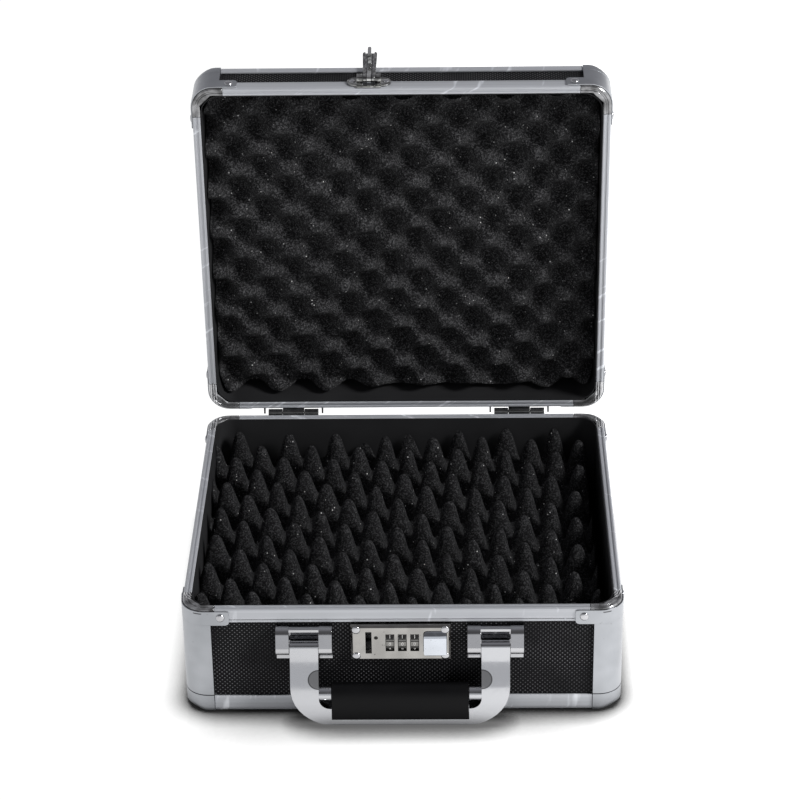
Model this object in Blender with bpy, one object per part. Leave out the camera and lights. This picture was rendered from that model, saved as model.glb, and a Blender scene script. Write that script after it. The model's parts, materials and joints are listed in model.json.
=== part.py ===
"""Aluminium attache case: two foam-lined trays in aluminium, with a hasp, a combination lock and a handle.

The case is drawn closed, standing on its base, in millimetres: +X to the right, +Y to the hinges, +Z up.
Everything on the lid hangs from an empty on the hinge line, and that empty swings the lid open.
"""

import math

import bmesh
import bpy
from mathutils import Vector

MM = 0.001
GAP = 0.3

# Driving dimensions of the case
CASE_WIDTH = 330.0
CASE_DEPTH = 298.0
BASE_HEIGHT = 93.0
LID_HEIGHT = 40.5
PARTING_GAP = 0.5
LID_OPEN_DEG = 86.2
HASP_FOLD_DEG = 177.0

# Extrusions and panels
CORNER_RADIUS = 17.0
RIM_WIDTH = 6.2
RIM_FACE = 11.6
RIM_SKIN = 1.2
RIM_INNER_LEG = 8.0
RIM_CROWN = 2.0
EDGE_SKIN = 1.2
EDGE_RADIUS = 5.0
EDGE_REACH = 15.0
BASE_EDGE = 15.0
LID_EDGE = 11.0
PANEL_INSET = RIM_SKIN + GAP
PANEL_THICKNESS = 3.4
FLOOR_THICKNESS = 3.2
PANEL_CHAMFER = 5.5

# Corner pieces, measured along each side from the corner of the rim's rectangle
INSERT_REACH = 24.5
INSERT_CHAMFER = 21.4
COVER_REACH = 21.5
COVER_PROUD = 1.0
COVER_FOOT_SHORT = 0.5
COVER_FILLET = 6.6
BALL_RADIUS = 8.5
SEAM_ABOVE_EDGE = 1.0
SEAM_WIDTH = 0.6
SEAM_DEPTH = 0.35
EAR_REACH = 35.6
EAR_PROUD = 1.1
EAR_TOP = 1.8
EAR_BOTTOM = 13.8
EAR_RADIUS = 3.0

# Foam
FOAM_SIDE_CLEARANCE = 7.2
FOAM_BACK_CLEARANCE = 11.0
FOAM_FRONT_GAP = 0.6
FOAM_CORNER = 10.0
PAD_THICKNESS = 22.0
BASE_FOAM_DEPTH = 6.5
LID_FOAM_DEPTH = 8.0

# Lock, measured from the case front with "proud" counted outwards
HARDWARE_X = -1.2
LOCK_Z = 65.5
LOCK_WIDTH = 74.8
LOCK_HEIGHT = 30.6
LOCK_DROP = 0.6
LOCK_PROUD = 4.5
LOCK_BEVEL = 1.6
HOUSING_WIDTH = 73.0
HOUSING_HEIGHT = 25.0
HOUSING_DEPTH = 13.8
HOUSING_WALL = 1.2
SLOT_X = -25.3
SLOT_WIDTH = 4.6
SLOT_HEIGHT = 19.0
DIAL_PITCH = 9.25
DIAL_RADIUS = 9.3
DIAL_WIDTH = 5.8
DIAL_CENTRE_PROUD = -2.8
WINDOW_WIDTH = 6.5
WINDOW_HEIGHT = 15.0
RESET_ACROSS = 5.6
RESET_UP = 4.4
RESET_RADIUS = 1.5
RESET_DEPTH = 3.0
AXLE_RADIUS = 1.6
PIN_PLAY = 0.4
WEB_X = 1.5 * DIAL_PITCH + 0.7
WEB_THICKNESS = 1.2
BUTTON_X = 24.6
BUTTON_WIDTH = 17.0
BUTTON_HEIGHT = 20.0
BUTTON_PROUD = 8.0
BUTTON_CORNER = 2.6
BUTTON_TRAVEL = 3.0

# Handle
HANDLE_X = HARDWARE_X - 0.7
MOUNT_OFFSET = 71.7
MOUNT_WIDTH = 42.0
MOUNT_LEG = 9.8
MOUNT_TOP = 78.8
MOUNT_BAR = 2.4
MOUNT_NOSE = 6.0
MOUNT_FOOT = 50.2
PIVOT_Z = 63.6
PIVOT_PROUD = 6.5
PIVOT_BARREL = 4.5
ARM_WIDTH = 21.3
HANDLE_BOTTOM = 3.0
HANDLE_FRONT = 22.5
HANDLE_OUTER_RADIUS = 33.0
HANDLE_INNER_RADIUS = 8.5
BOW_FLOOR = 18.0
SPINE_HEIGHT = 5.2
GRIP_HALF = 51.7
GRIP_TOP = 36.0
GRIP_HALF_DEPTH = 8.2
GRIP_CROWN = 13.0
BOW_WEB = 5.2
BOSS_RADIUS = 5.9
BOSS_DROP = 8.7
HANDLE_PIN = 1.8
# The arms lean outwards from the pivot to the grip in a soft S
ARM_LEAN = 11.5
ARM_LEAN_DROP = 47.0
ARM_LEAN_POWER = 1.4
ARM_LEAN_STEPS = 9

# Hasp
HASP_X = SLOT_X
HASP_PIVOT_PROUD = 4.2
HASP_PIVOT_DEPTH = 8.0
HASP_BARREL = 3.8
HASP_PIN = 1.2
HASP_LENGTH = 45.5
HASP_ROOT_WIDTH = 9.2
HASP_TIP_WIDTH = 11.6
HASP_SKIN = 1.0
TONGUE_HALF = 1.5
TONGUE_TAPER = 7.0
TONGUE_EDGE = 0.4

# Hinges
HINGE_X = 94.9
HINGE_BEHIND = 3.5
HINGE_KNUCKLE = 2.9
HINGE_PIN = 1.2
HINGE_WIDTH = 50.0
LEAF_SKIN = 1.2

FRONT = -CASE_DEPTH / 2
BACK = CASE_DEPTH / 2
HALF_WIDTH = CASE_WIDTH / 2
HINGE_Y = BACK + HINGE_BEHIND
HINGE_Z = BASE_HEIGHT + PARTING_GAP / 2
LID_RIM_Z = BASE_HEIGHT + PARTING_GAP
BOLT_PLAY = 0.5
BOLT_LOW = LOCK_Z - HOUSING_HEIGHT / 2 + HOUSING_WALL + 0.4
BOLT_HIGH = LOCK_Z - DIAL_RADIUS - 0.4
BOLT_FRONT = FRONT + 3.4
BOLT_BACK = FRONT + 7.4
HASP_PIVOT_Y = FRONT - HASP_PIVOT_PROUD
HASP_PIVOT_Z = LID_RIM_Z + HASP_PIVOT_DEPTH


# ---------------------------------------------------------------- shapes: (points in mm, faces)

def arc(across, up, radius, start_deg, end_deg, steps):
    """Points on an arc in a plane, both ends included."""
    points = []
    for step in range(steps + 1):
        angle = math.radians(start_deg + (end_deg - start_deg) * step / steps)
        points.append((across + radius * math.cos(angle), up + radius * math.sin(angle)))
    return points


def circle(across, up, radius, steps):
    """A closed round outline."""
    return arc(across, up, radius, 0.0, 360.0, steps)[:-1]


def rectangle(low, high):
    """A closed rectangular outline between two corners."""
    return [(low[0], low[1]), (high[0], low[1]), (high[0], high[1]), (low[0], high[1])]


def rounded(low, high, radius, steps=4):
    """A closed rectangular outline with round corners."""
    left, bottom = low[0] + radius, low[1] + radius
    right, top = high[0] - radius, high[1] - radius
    outline = []
    for x, y, start in ((right, top, 0), (left, top, 90), (left, bottom, 180), (right, bottom, 270)):
        outline += arc(x, y, radius, start, start + 90, steps)
    return outline


def skin(rings):
    """A closed solid through rings of equal length, with a cap on each end."""
    count = len(rings[0])
    points = [point for ring in rings for point in ring]
    faces = [tuple(range(count)), tuple(range(len(points) - count, len(points)))]
    for row in range(len(rings) - 1):
        for column in range(count):
            after = (column + 1) % count
            start = row * count
            faces.append((start + column, start + after, start + count + after, start + count + column))
    return points, faces


def prism(axis, outline, low, high):
    """An outline pushed along an axis. Its plane is (y, z) for X, (x, z) for Y and (x, y) for Z."""
    place = {
        "X": lambda p, along: (along, p[0], p[1]),
        "Y": lambda p, along: (p[0], along, p[1]),
        "Z": lambda p, along: (p[0], p[1], along),
    }[axis]
    return skin([[place(point, low) for point in outline], [place(point, high) for point in outline]])


def box(low, high):
    """A rectangular block between two corners."""
    return prism("Z", rectangle(low[:2], high[:2]), low[2], high[2])


def rod(radius, low_x, high_x, y, z, steps=16):
    """A round bar along X."""
    return prism("X", circle(y, z, radius, steps), low_x, high_x)


def proud(distance):
    """The Y of a plane that stands a distance in front of the case."""
    return FRONT - distance


# ---------------------------------------------------------------- objects

def empty(name, location, parent=None):
    """A joint's frame. The location is in the closed case's millimetres."""
    frame = bpy.data.objects.new(name, None)
    frame["origin_mm"] = location
    base = Vector(parent["origin_mm"]) if parent else Vector((0.0, 0.0, 0.0))
    frame.location = (Vector(location) - base) * MM
    frame.parent = parent
    bpy.context.scene.collection.objects.link(frame)
    return frame


def mesh_from(name, shape, origin):
    """A mesh in metres about an origin, with its faces pointing out."""
    points, faces = shape
    mesh = bpy.data.meshes.new(name)
    mesh.from_pydata([(Vector(point) - origin) * MM for point in points], [], faces)
    work = bmesh.new()
    work.from_mesh(mesh)
    bmesh.ops.recalc_face_normals(work, faces=work.faces)
    work.to_mesh(mesh)
    work.free()
    return mesh


def solid(name, shape, finish, frame, origin=None):
    """One piece of the case, riding on a frame, with its own origin where one is given."""
    frame_origin = Vector(frame["origin_mm"])
    own_origin = Vector(origin) if origin else frame_origin
    piece = bpy.data.objects.new(name, mesh_from(name, shape, own_origin))
    piece["origin_mm"] = own_origin
    piece.parent = frame
    piece.location = (own_origin - frame_origin) * MM
    piece.data.materials.append(finish)
    bpy.context.scene.collection.objects.link(piece)
    return piece


def combine(piece, shape, operation):
    """Joins a shape to a piece, cuts it away, or keeps only what both hold."""
    tool = bpy.data.objects.new("tool", mesh_from("tool", shape, Vector(piece["origin_mm"])))
    tool.parent = piece.parent
    tool.location = piece.location
    bpy.context.scene.collection.objects.link(tool)
    modifier = piece.modifiers.new("combine", "BOOLEAN")
    modifier.operation = operation
    modifier.object = tool
    bpy.context.view_layer.update()
    graph = bpy.context.evaluated_depsgraph_get()
    result = bpy.data.meshes.new_from_object(piece.evaluated_get(graph))
    piece.modifiers.clear()
    piece.data = result
    bpy.data.objects.remove(tool)


def join(piece, *shapes):
    """Fuses shapes onto a piece."""
    for shape in shapes:
        combine(piece, shape, "UNION")


def cut(piece, *shapes):
    """Takes shapes out of a piece."""
    for shape in shapes:
        combine(piece, shape, "DIFFERENCE")


def round_off(piece, angle_deg=35.0):
    """Shades a piece smooth, with its real edges kept sharp."""
    piece.data.shade_smooth()
    piece.data.set_sharp_from_angle(angle=math.radians(angle_deg))


def material(name, colour, roughness, metallic):
    """A plain surface."""
    finish = bpy.data.materials.new(name)
    finish.use_nodes = True
    shader = finish.node_tree.nodes["Principled BSDF"]
    shader.inputs["Base Color"].default_value = (*colour, 1.0)
    shader.inputs["Roughness"].default_value = roughness
    shader.inputs["Metallic"].default_value = metallic
    return finish


# ---------------------------------------------------------------- the two trays

class Tray:
    """The base or the lid. Depth runs from the rim's plane to the closed side, and inset runs inwards."""

    def __init__(self, name, frame, rim_z, sense, height, edge_height):
        self.name = name
        self.frame = frame
        self.rim_z = rim_z
        self.sense = sense
        self.height = height
        self.edge_height = edge_height

    def z(self, depth):
        return self.rim_z + self.sense * depth

    def side_ring(self, side, along, profile):
        """A profile of (inset, depth) set across one side, at a place along it."""
        ring = []
        for inset, depth in profile:
            spot = {
                "front": (along, FRONT + inset),
                "back": (along, BACK - inset),
                "left": (-HALF_WIDTH + inset, along),
                "right": (HALF_WIDTH - inset, along),
            }[side]
            ring.append((*spot, self.z(depth)))
        return ring

    def straight(self, side, reach, profile):
        """A profile pushed along one side, ending short of both corners."""
        half = (HALF_WIDTH if side in ("front", "back") else BACK) - reach
        return skin([self.side_ring(side, -half, profile), self.side_ring(side, half, profile)])

    def corner_ring(self, corner, station, profile):
        """A profile of (inset, depth) set across a corner's path at one station."""
        along_x, along_y, in_x, in_y = station
        ring = []
        for inset, depth in profile:
            a = along_x + inset * in_x
            b = along_y + inset * in_y
            ring.append((corner[0] * (HALF_WIDTH - a), corner[1] * (BACK - b), self.z(depth)))
        return ring

    def loop(self, inset, depth, steps=6):
        """A rounded rectangle that runs round the whole tray at an inset."""
        radius = CORNER_RADIUS - inset
        x = HALF_WIDTH - CORNER_RADIUS
        y = BACK - CORNER_RADIUS
        outline = []
        for centre_x, centre_y, start in ((x, y, 0), (-x, y, 90), (-x, -y, 180), (x, -y, 270)):
            outline += arc(centre_x, centre_y, radius, start, start + 90, steps)
        return [(*point, self.z(depth)) for point in outline]


def corner_stations(reach, steps=8, end_steps=()):
    """The path round a corner as (a, b, inward a, inward b), measured in from both sides.

    It runs along one side from its reach, round the corner's arc, and out along the other side.
    """
    lead = [reach] + [reach - step for step in end_steps]
    stations = [(distance, 0.0, 0.0, 1.0) for distance in lead]
    for step in range(steps + 1):
        angle = math.radians(90.0 * step / steps)
        across = math.sin(angle)
        along = math.cos(angle)
        stations.append((CORNER_RADIUS * (1 - across), CORNER_RADIUS * (1 - along), across, along))
    stations += [(0.0, distance, 1.0, 0.0) for distance in reversed(lead)]
    return stations


RIM_OUTER = [
    (RIM_SKIN, RIM_FACE),
    (0.0, RIM_FACE),
    (0.0, 9.8),
    (0.25, 9.6),
    (0.25, 9.2),
    (0.0, 9.0),
    (0.0, 0.9),
    (0.9, 0.0),
    (2.3, 0.0),
    (2.6, 0.7),
    (3.9, 0.7),
    (4.2, 0.0),
]
RIM_INNER = [
    (RIM_WIDTH - 0.6, 0.0),
    (RIM_WIDTH, 0.6),
    (RIM_WIDTH, RIM_INNER_LEG),
    (RIM_WIDTH - 1.0, RIM_INNER_LEG),
    (RIM_WIDTH - 1.0, RIM_CROWN),
]
RIM_ROOF = [(RIM_SKIN, RIM_CROWN)]


def rim_insert(tray, corner):
    """The chrome corner of a rim: the channel turned through the corner, with a straight bevel inside."""
    rings = []
    for station in corner_stations(INSERT_REACH):
        along_x, along_y, in_x, in_y = station
        ring = tray.corner_ring(corner, station, RIM_OUTER + RIM_INNER + RIM_ROOF)
        for index, (inset, depth) in enumerate(RIM_INNER, len(RIM_OUTER)):
            a = along_x + inset * in_x
            b = along_y + inset * in_y
            bevel = INSERT_CHAMFER - (RIM_WIDTH - inset) * math.sqrt(2)
            push = max(0.0, bevel - a - b) / 2
            x = corner[0] * (HALF_WIDTH - a - push)
            y = corner[1] * (BACK - b - push)
            ring[index] = (x, y, tray.z(depth))
        rings.append(ring)
    return skin(rings)


def edge_profile(tray):
    """The angle that covers the tray's outer edge: a leg up the side and a leg under the panel."""
    bottom = tray.height
    outer = [(EDGE_RADIUS - x, bottom - EDGE_RADIUS + y) for x, y in arc(0, 0, EDGE_RADIUS, 0, 90, 6)]
    inner_radius = EDGE_RADIUS - EDGE_SKIN
    inner = [(EDGE_RADIUS - x, bottom - EDGE_RADIUS + y) for x, y in arc(0, 0, inner_radius, 90, 0, 6)]
    top = bottom - tray.edge_height
    foot = [(EDGE_REACH, bottom), (EDGE_REACH, bottom - EDGE_SKIN)]
    return [(0.0, top)] + outer + foot + inner + [(EDGE_SKIN, top)]


def cover_post(tray, corner):
    """The lower part of a corner cover: an angle down the corner, then a groove and the ball that ends it."""
    bottom = tray.height
    top = RIM_FACE + GAP
    outside = -COVER_PROUD
    foot = EDGE_REACH - COVER_FOOT_SHORT
    ball = min(BALL_RADIUS, tray.edge_height - 1.0)
    seam = bottom - tray.edge_height - SEAM_ABOVE_EDGE
    groove = [
        (outside, seam - SEAM_WIDTH / 2),
        (outside + SEAM_DEPTH, seam - SEAM_WIDTH / 4),
        (outside + SEAM_DEPTH, seam + SEAM_WIDTH / 4),
        (outside, seam + SEAM_WIDTH / 2),
    ]
    inside = [
        (foot, bottom),
        (foot, bottom - EDGE_SKIN),
        (COVER_FILLET, bottom - EDGE_SKIN),
        (EDGE_SKIN, bottom - COVER_FILLET),
        (EDGE_SKIN, top),
    ]
    rings = []
    for station in corner_stations(COVER_REACH):
        in_x, in_y = station[2:]
        share = (2 * in_x * in_y) ** 2
        radius = EDGE_RADIUS + (ball - EDGE_RADIUS) * share
        lower = [(outside + radius - x, bottom - radius + y) for x, y in arc(0, 0, radius, 0, 90, 6)]
        rings.append(tray.corner_ring(corner, station, [(outside, top)] + groove + lower + inside))
    return skin(rings)


def cover_band(tray, corner):
    """The upper part of a corner cover: a band over the rim's face with a riveted ear at each end."""
    round_steps = (0.4, 1.2, EAR_RADIUS)
    stations = corner_stations(EAR_REACH, end_steps=round_steps)
    count = len(stations)
    rings = []
    for index, station in enumerate(stations):
        from_end = min(index, count - 1 - index)
        along = ((0.0,) + round_steps)[from_end] if from_end <= len(round_steps) else EAR_RADIUS
        rise = EAR_RADIUS - math.sqrt(max(0.0, EAR_RADIUS ** 2 - (EAR_RADIUS - along) ** 2))
        profile = rectangle((-EAR_PROUD, EAR_TOP + rise / 3), (-GAP, EAR_BOTTOM - rise))
        rings.append(tray.corner_ring(corner, station, profile))
    return skin(rings)


def shell(tray):
    """The tray itself: four walls and a floor, with its outer edge taken off where the angles wrap it."""
    inner = PANEL_INSET + PANEL_THICKNESS
    top = RIM_CROWN + GAP
    outside = tray.height - EDGE_SKIN - GAP
    return skin([
        tray.loop(PANEL_INSET + PANEL_CHAMFER, outside),
        tray.loop(PANEL_INSET, outside - PANEL_CHAMFER),
        tray.loop(PANEL_INSET, top),
        tray.loop(inner, top),
        tray.loop(inner, outside - FLOOR_THICKNESS),
    ])


def foam_block(tray, depth, low_depth):
    """A block of foam cut to fit the tray, from one depth down to another."""
    half_width = HALF_WIDTH - FOAM_SIDE_CLEARANCE
    front = FRONT + HOUSING_DEPTH + FOAM_FRONT_GAP
    back = BACK - FOAM_BACK_CLEARANCE
    low, high = sorted((tray.z(depth), tray.z(low_depth)))
    return prism("Z", rounded((-half_width, front), (half_width, back), FOAM_CORNER), low, high)


def build_tray(tray, finishes):
    """Every piece of one tray: rim, inserts, edge angles, corner covers and the shell."""
    aluminium = finishes["aluminium"]
    for side in ("front", "back", "left", "right"):
        rim_shape = tray.straight(side, INSERT_REACH + GAP, RIM_OUTER + RIM_INNER + RIM_ROOF)
        solid(f"{tray.name}_rim_{side}", rim_shape, aluminium, tray.frame)
        edge_shape = tray.straight(side, COVER_REACH + GAP, edge_profile(tray))
        edge = solid(f"{tray.name}_edge_{side}", edge_shape, aluminium, tray.frame)
        round_off(edge)
    corners = {
        "front_left": (-1, -1),
        "front_right": (1, -1),
        "back_left": (-1, 1),
        "back_right": (1, 1),
    }
    for place, corner in corners.items():
        insert_name = f"{tray.name}_rim_corner_{place}"
        insert = solid(insert_name, rim_insert(tray, corner), finishes["chrome"], tray.frame)
        round_off(insert)
        cover = solid(f"{tray.name}_corner_{place}", cover_post(tray, corner), aluminium, tray.frame)
        join(cover, cover_band(tray, corner))
        round_off(cover)
    return solid(f"{tray.name}_shell", shell(tray), finishes["panel"], tray.frame)


# ---------------------------------------------------------------- lock

def build_lock(base, shell_piece, finishes):
    """The lock's face plate, its housing with the dials' axle, three dials, the push button and the bolt."""
    left = HARDWARE_X - LOCK_WIDTH / 2
    right = HARDWARE_X + LOCK_WIDTH / 2
    bottom = LOCK_Z - LOCK_DROP - LOCK_HEIGHT / 2
    top = bottom + LOCK_HEIGHT
    back_y = FRONT + PANEL_INSET - GAP
    edge_y = proud(LOCK_PROUD - LOCK_BEVEL)
    face_y = proud(LOCK_PROUD)
    rings = []
    for y, bevel in ((back_y, 0.0), (edge_y, 0.0), (face_y, LOCK_BEVEL)):
        outline = rectangle((left + bevel, bottom + bevel), (right - bevel, top - bevel))
        rings.append([(x, y, z) for x, z in outline])
    plate = solid("lock_plate", skin(rings), finishes["chrome"], base)
    through = (proud(LOCK_PROUD + 1.0), back_y + 1.0)
    half_slot = SLOT_WIDTH / 2
    cut(plate, box((SLOT_X - half_slot, through[0], LOCK_Z - SLOT_HEIGHT / 2),
                   (SLOT_X + half_slot, through[1], LOCK_Z + SLOT_HEIGHT / 2)))
    dial_y = proud(DIAL_CENTRE_PROUD)
    half_window = WINDOW_WIDTH / 2
    for index in (-1, 0, 1):
        x = index * DIAL_PITCH
        window = box((x - half_window, through[0], LOCK_Z - WINDOW_HEIGHT / 2),
                     (x + half_window, through[1], LOCK_Z + WINDOW_HEIGHT / 2))
        cut(plate, window, rod(DIAL_RADIUS + GAP, x - half_window, x + half_window, dial_y, LOCK_Z, 24))
    cut(plate, prism("Y", button_outline(GAP), *through))
    reset = circle(SLOT_X + RESET_ACROSS, LOCK_Z + RESET_UP, RESET_RADIUS, 12)
    cut(plate, prism("Y", reset, face_y + RESET_DEPTH, through[0]))

    build_housing(base, shell_piece, finishes)
    axle_half = WEB_X + 0.5
    axle_shape = rod(AXLE_RADIUS, -axle_half, axle_half, dial_y, LOCK_Z)
    axle = solid("lock_dial_axle", axle_shape, finishes["steel"], base)
    round_off(axle)
    for index, place in ((-1, "left"), (0, "middle"), (1, "right")):
        x = index * DIAL_PITCH
        outline = []
        for tooth in range(10):
            start = 36.0 * tooth - 12.0
            outline += arc(dial_y, LOCK_Z, DIAL_RADIUS, start, start + 24.0, 2)
            outline += arc(dial_y, LOCK_Z, DIAL_RADIUS - 0.6, start + 27.0, start + 33.0, 1)
        dial = solid(f"lock_dial_{place}", prism("X", outline, x - DIAL_WIDTH / 2, x + DIAL_WIDTH / 2),
                     finishes["dial"], base, (x, dial_y, LOCK_Z))
        cut(dial, rod(AXLE_RADIUS + PIN_PLAY, x - DIAL_WIDTH, x + DIAL_WIDTH, dial_y, LOCK_Z))
    build_button_and_bolt(base, finishes)


def build_housing(base, shell_piece, finishes):
    """The box behind the plate, open at the front, with two webs that carry the dials' axle."""
    back_y = FRONT + HOUSING_DEPTH
    front_y = FRONT + PANEL_INSET + GAP
    half_width = HOUSING_WIDTH / 2
    half_height = HOUSING_HEIGHT / 2
    low = (HARDWARE_X - half_width, front_y, LOCK_Z - half_height)
    high = (HARDWARE_X + half_width, back_y, LOCK_Z + half_height)
    housing = solid("lock_housing", box(low, high), finishes["steel"], base)
    wall = HOUSING_WALL
    hollow_low = (low[0] + wall, front_y - 1.0, low[2] + wall)
    cut(housing, box(hollow_low, (high[0] - wall, back_y - wall, high[2] - wall)))
    dial_y = proud(DIAL_CENTRE_PROUD)
    half_web = WEB_THICKNESS / 2
    for x in (-WEB_X, WEB_X):
        web_low = (x - half_web, front_y, low[2] + wall / 2)
        join(housing, box(web_low, (x + half_web, back_y - wall / 2, high[2] - wall / 2)))
    reach = WEB_X + WEB_THICKNESS
    cut(housing, rod(AXLE_RADIUS + PIN_PLAY, -reach, reach, dial_y, LOCK_Z))
    bolt_low = (-reach, front_y - 1.0, BOLT_LOW - BOLT_PLAY)
    cut(housing, box(bolt_low, (reach, BOLT_BACK + BOLT_PLAY, BOLT_HIGH + BOLT_PLAY)))
    hole_low = (low[0] - PIN_PLAY, FRONT - 1.0, low[2] - PIN_PLAY)
    hole_back = FRONT + PANEL_INSET + PANEL_THICKNESS + 1.0
    cut(shell_piece, box(hole_low, (high[0] + PIN_PLAY, hole_back, high[2] + PIN_PLAY)))


def button_outline(margin):
    """The button's face, or the hole it moves in where a margin is given."""
    half_width = BUTTON_WIDTH / 2 + margin
    half_height = BUTTON_HEIGHT / 2 + margin
    low = (BUTTON_X - half_width, LOCK_Z - half_height)
    return rounded(low, (BUTTON_X + half_width, LOCK_Z + half_height), BUTTON_CORNER + margin)


def build_button_and_bolt(base, finishes):
    """The push button, domed at its top, and the bolt that it draws back from the hasp's tongue."""
    half_width = BUTTON_WIDTH / 2
    half_height = BUTTON_HEIGHT / 2
    root_y = FRONT + 6.0
    profile = [
        (root_y, LOCK_Z - half_height),
        (proud(BUTTON_PROUD - 0.8), LOCK_Z - half_height),
        (proud(BUTTON_PROUD), LOCK_Z - half_height + 0.8),
        (proud(BUTTON_PROUD), LOCK_Z + half_height - 6.0),
        (proud(BUTTON_PROUD - 0.9), LOCK_Z + half_height - 3.0),
        (proud(BUTTON_PROUD - 2.6), LOCK_Z + half_height - 0.6),
        (proud(BUTTON_PROUD - 3.4), LOCK_Z + half_height),
        (root_y, LOCK_Z + half_height),
    ]
    button_shape = prism("X", profile, BUTTON_X - half_width, BUTTON_X + half_width)
    button = solid("lock_button", button_shape, finishes["chrome"], base, (BUTTON_X, proud(BUTTON_PROUD), LOCK_Z))
    combine(button, prism("Y", button_outline(0.0), proud(BUTTON_PROUD + 1.0), root_y + 1.0), "INTERSECT")
    round_off(button)

    finger_x = SLOT_X - 3.6
    start_x = finger_x - 1.6
    bar = box((start_x, BOLT_FRONT, BOLT_LOW), (BUTTON_X - half_width - 1.0, BOLT_BACK, BOLT_HIGH))
    bolt = solid("lock_bolt", bar, finishes["steel"], base, (finger_x, BOLT_FRONT, BOLT_LOW))
    join(bolt, box((start_x, BOLT_FRONT, BOLT_LOW), (finger_x, BOLT_BACK, LOCK_Z + 4.0)))


# ---------------------------------------------------------------- handle

def build_handle(base, handle, finishes):
    """Two chrome mounts with pins, and the bow that swings on them with its grip."""
    pivot_y = proud(PIVOT_PROUD)
    mount_back = PANEL_INSET - GAP
    leg = [(-mount_back, MOUNT_FOOT), (1.8, MOUNT_FOOT), (2.2, MOUNT_FOOT + 5.0)]
    leg += arc(PIVOT_PROUD, PIVOT_Z, MOUNT_NOSE, -120.0, 40.0, 8)
    leg += [(PIVOT_PROUD + 2.4, MOUNT_TOP - 4.0), (PIVOT_PROUD + 0.6, MOUNT_TOP - 0.8)]
    leg += [(PIVOT_PROUD - 0.8, MOUNT_TOP), (-mount_back, MOUNT_TOP)]
    leg_outline = [(proud(out), z) for out, z in leg]
    for sign, place in ((-1, "left"), (1, "right")):
        centre = HANDLE_X + sign * MOUNT_OFFSET
        low = centre - MOUNT_WIDTH / 2
        high = centre + MOUNT_WIDTH / 2
        left_leg = prism("X", leg_outline, low, low + MOUNT_LEG)
        mount = solid(f"handle_mount_{place}", left_leg, finishes["chrome"], base)
        join(mount, prism("X", leg_outline, high - MOUNT_LEG, high))
        bar_top = MOUNT_TOP - 0.4
        bar_low = bar_top - MOUNT_BAR
        bar = [
            (proud(-mount_back), bar_low),
            (proud(PIVOT_PROUD - 0.7), bar_low),
            (proud(PIVOT_PROUD - 0.7), bar_top - 0.4),
            (proud(PIVOT_PROUD - 1.4), bar_top),
            (proud(-mount_back), bar_top),
        ]
        inside = MOUNT_LEG - 1.0
        join(mount, prism("X", bar, low + inside, high - inside))
        web_low = (low + inside, proud(0.4), MOUNT_FOOT + 2.0)
        join(mount, box(web_low, (high - inside, proud(-mount_back), bar_low + 1.0)))
        cut(mount, rod(HANDLE_PIN + PIN_PLAY, low - 1.0, high + 1.0, pivot_y, PIVOT_Z))
        round_off(mount)
        pin_x = MOUNT_WIDTH / 2 - 0.4
        pin = solid(f"handle_pin_{place}", rod(HANDLE_PIN, centre - pin_x, centre + pin_x, pivot_y, PIVOT_Z),
                    finishes["steel"], base)
        round_off(pin)
    build_bow(handle, finishes)


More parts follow.
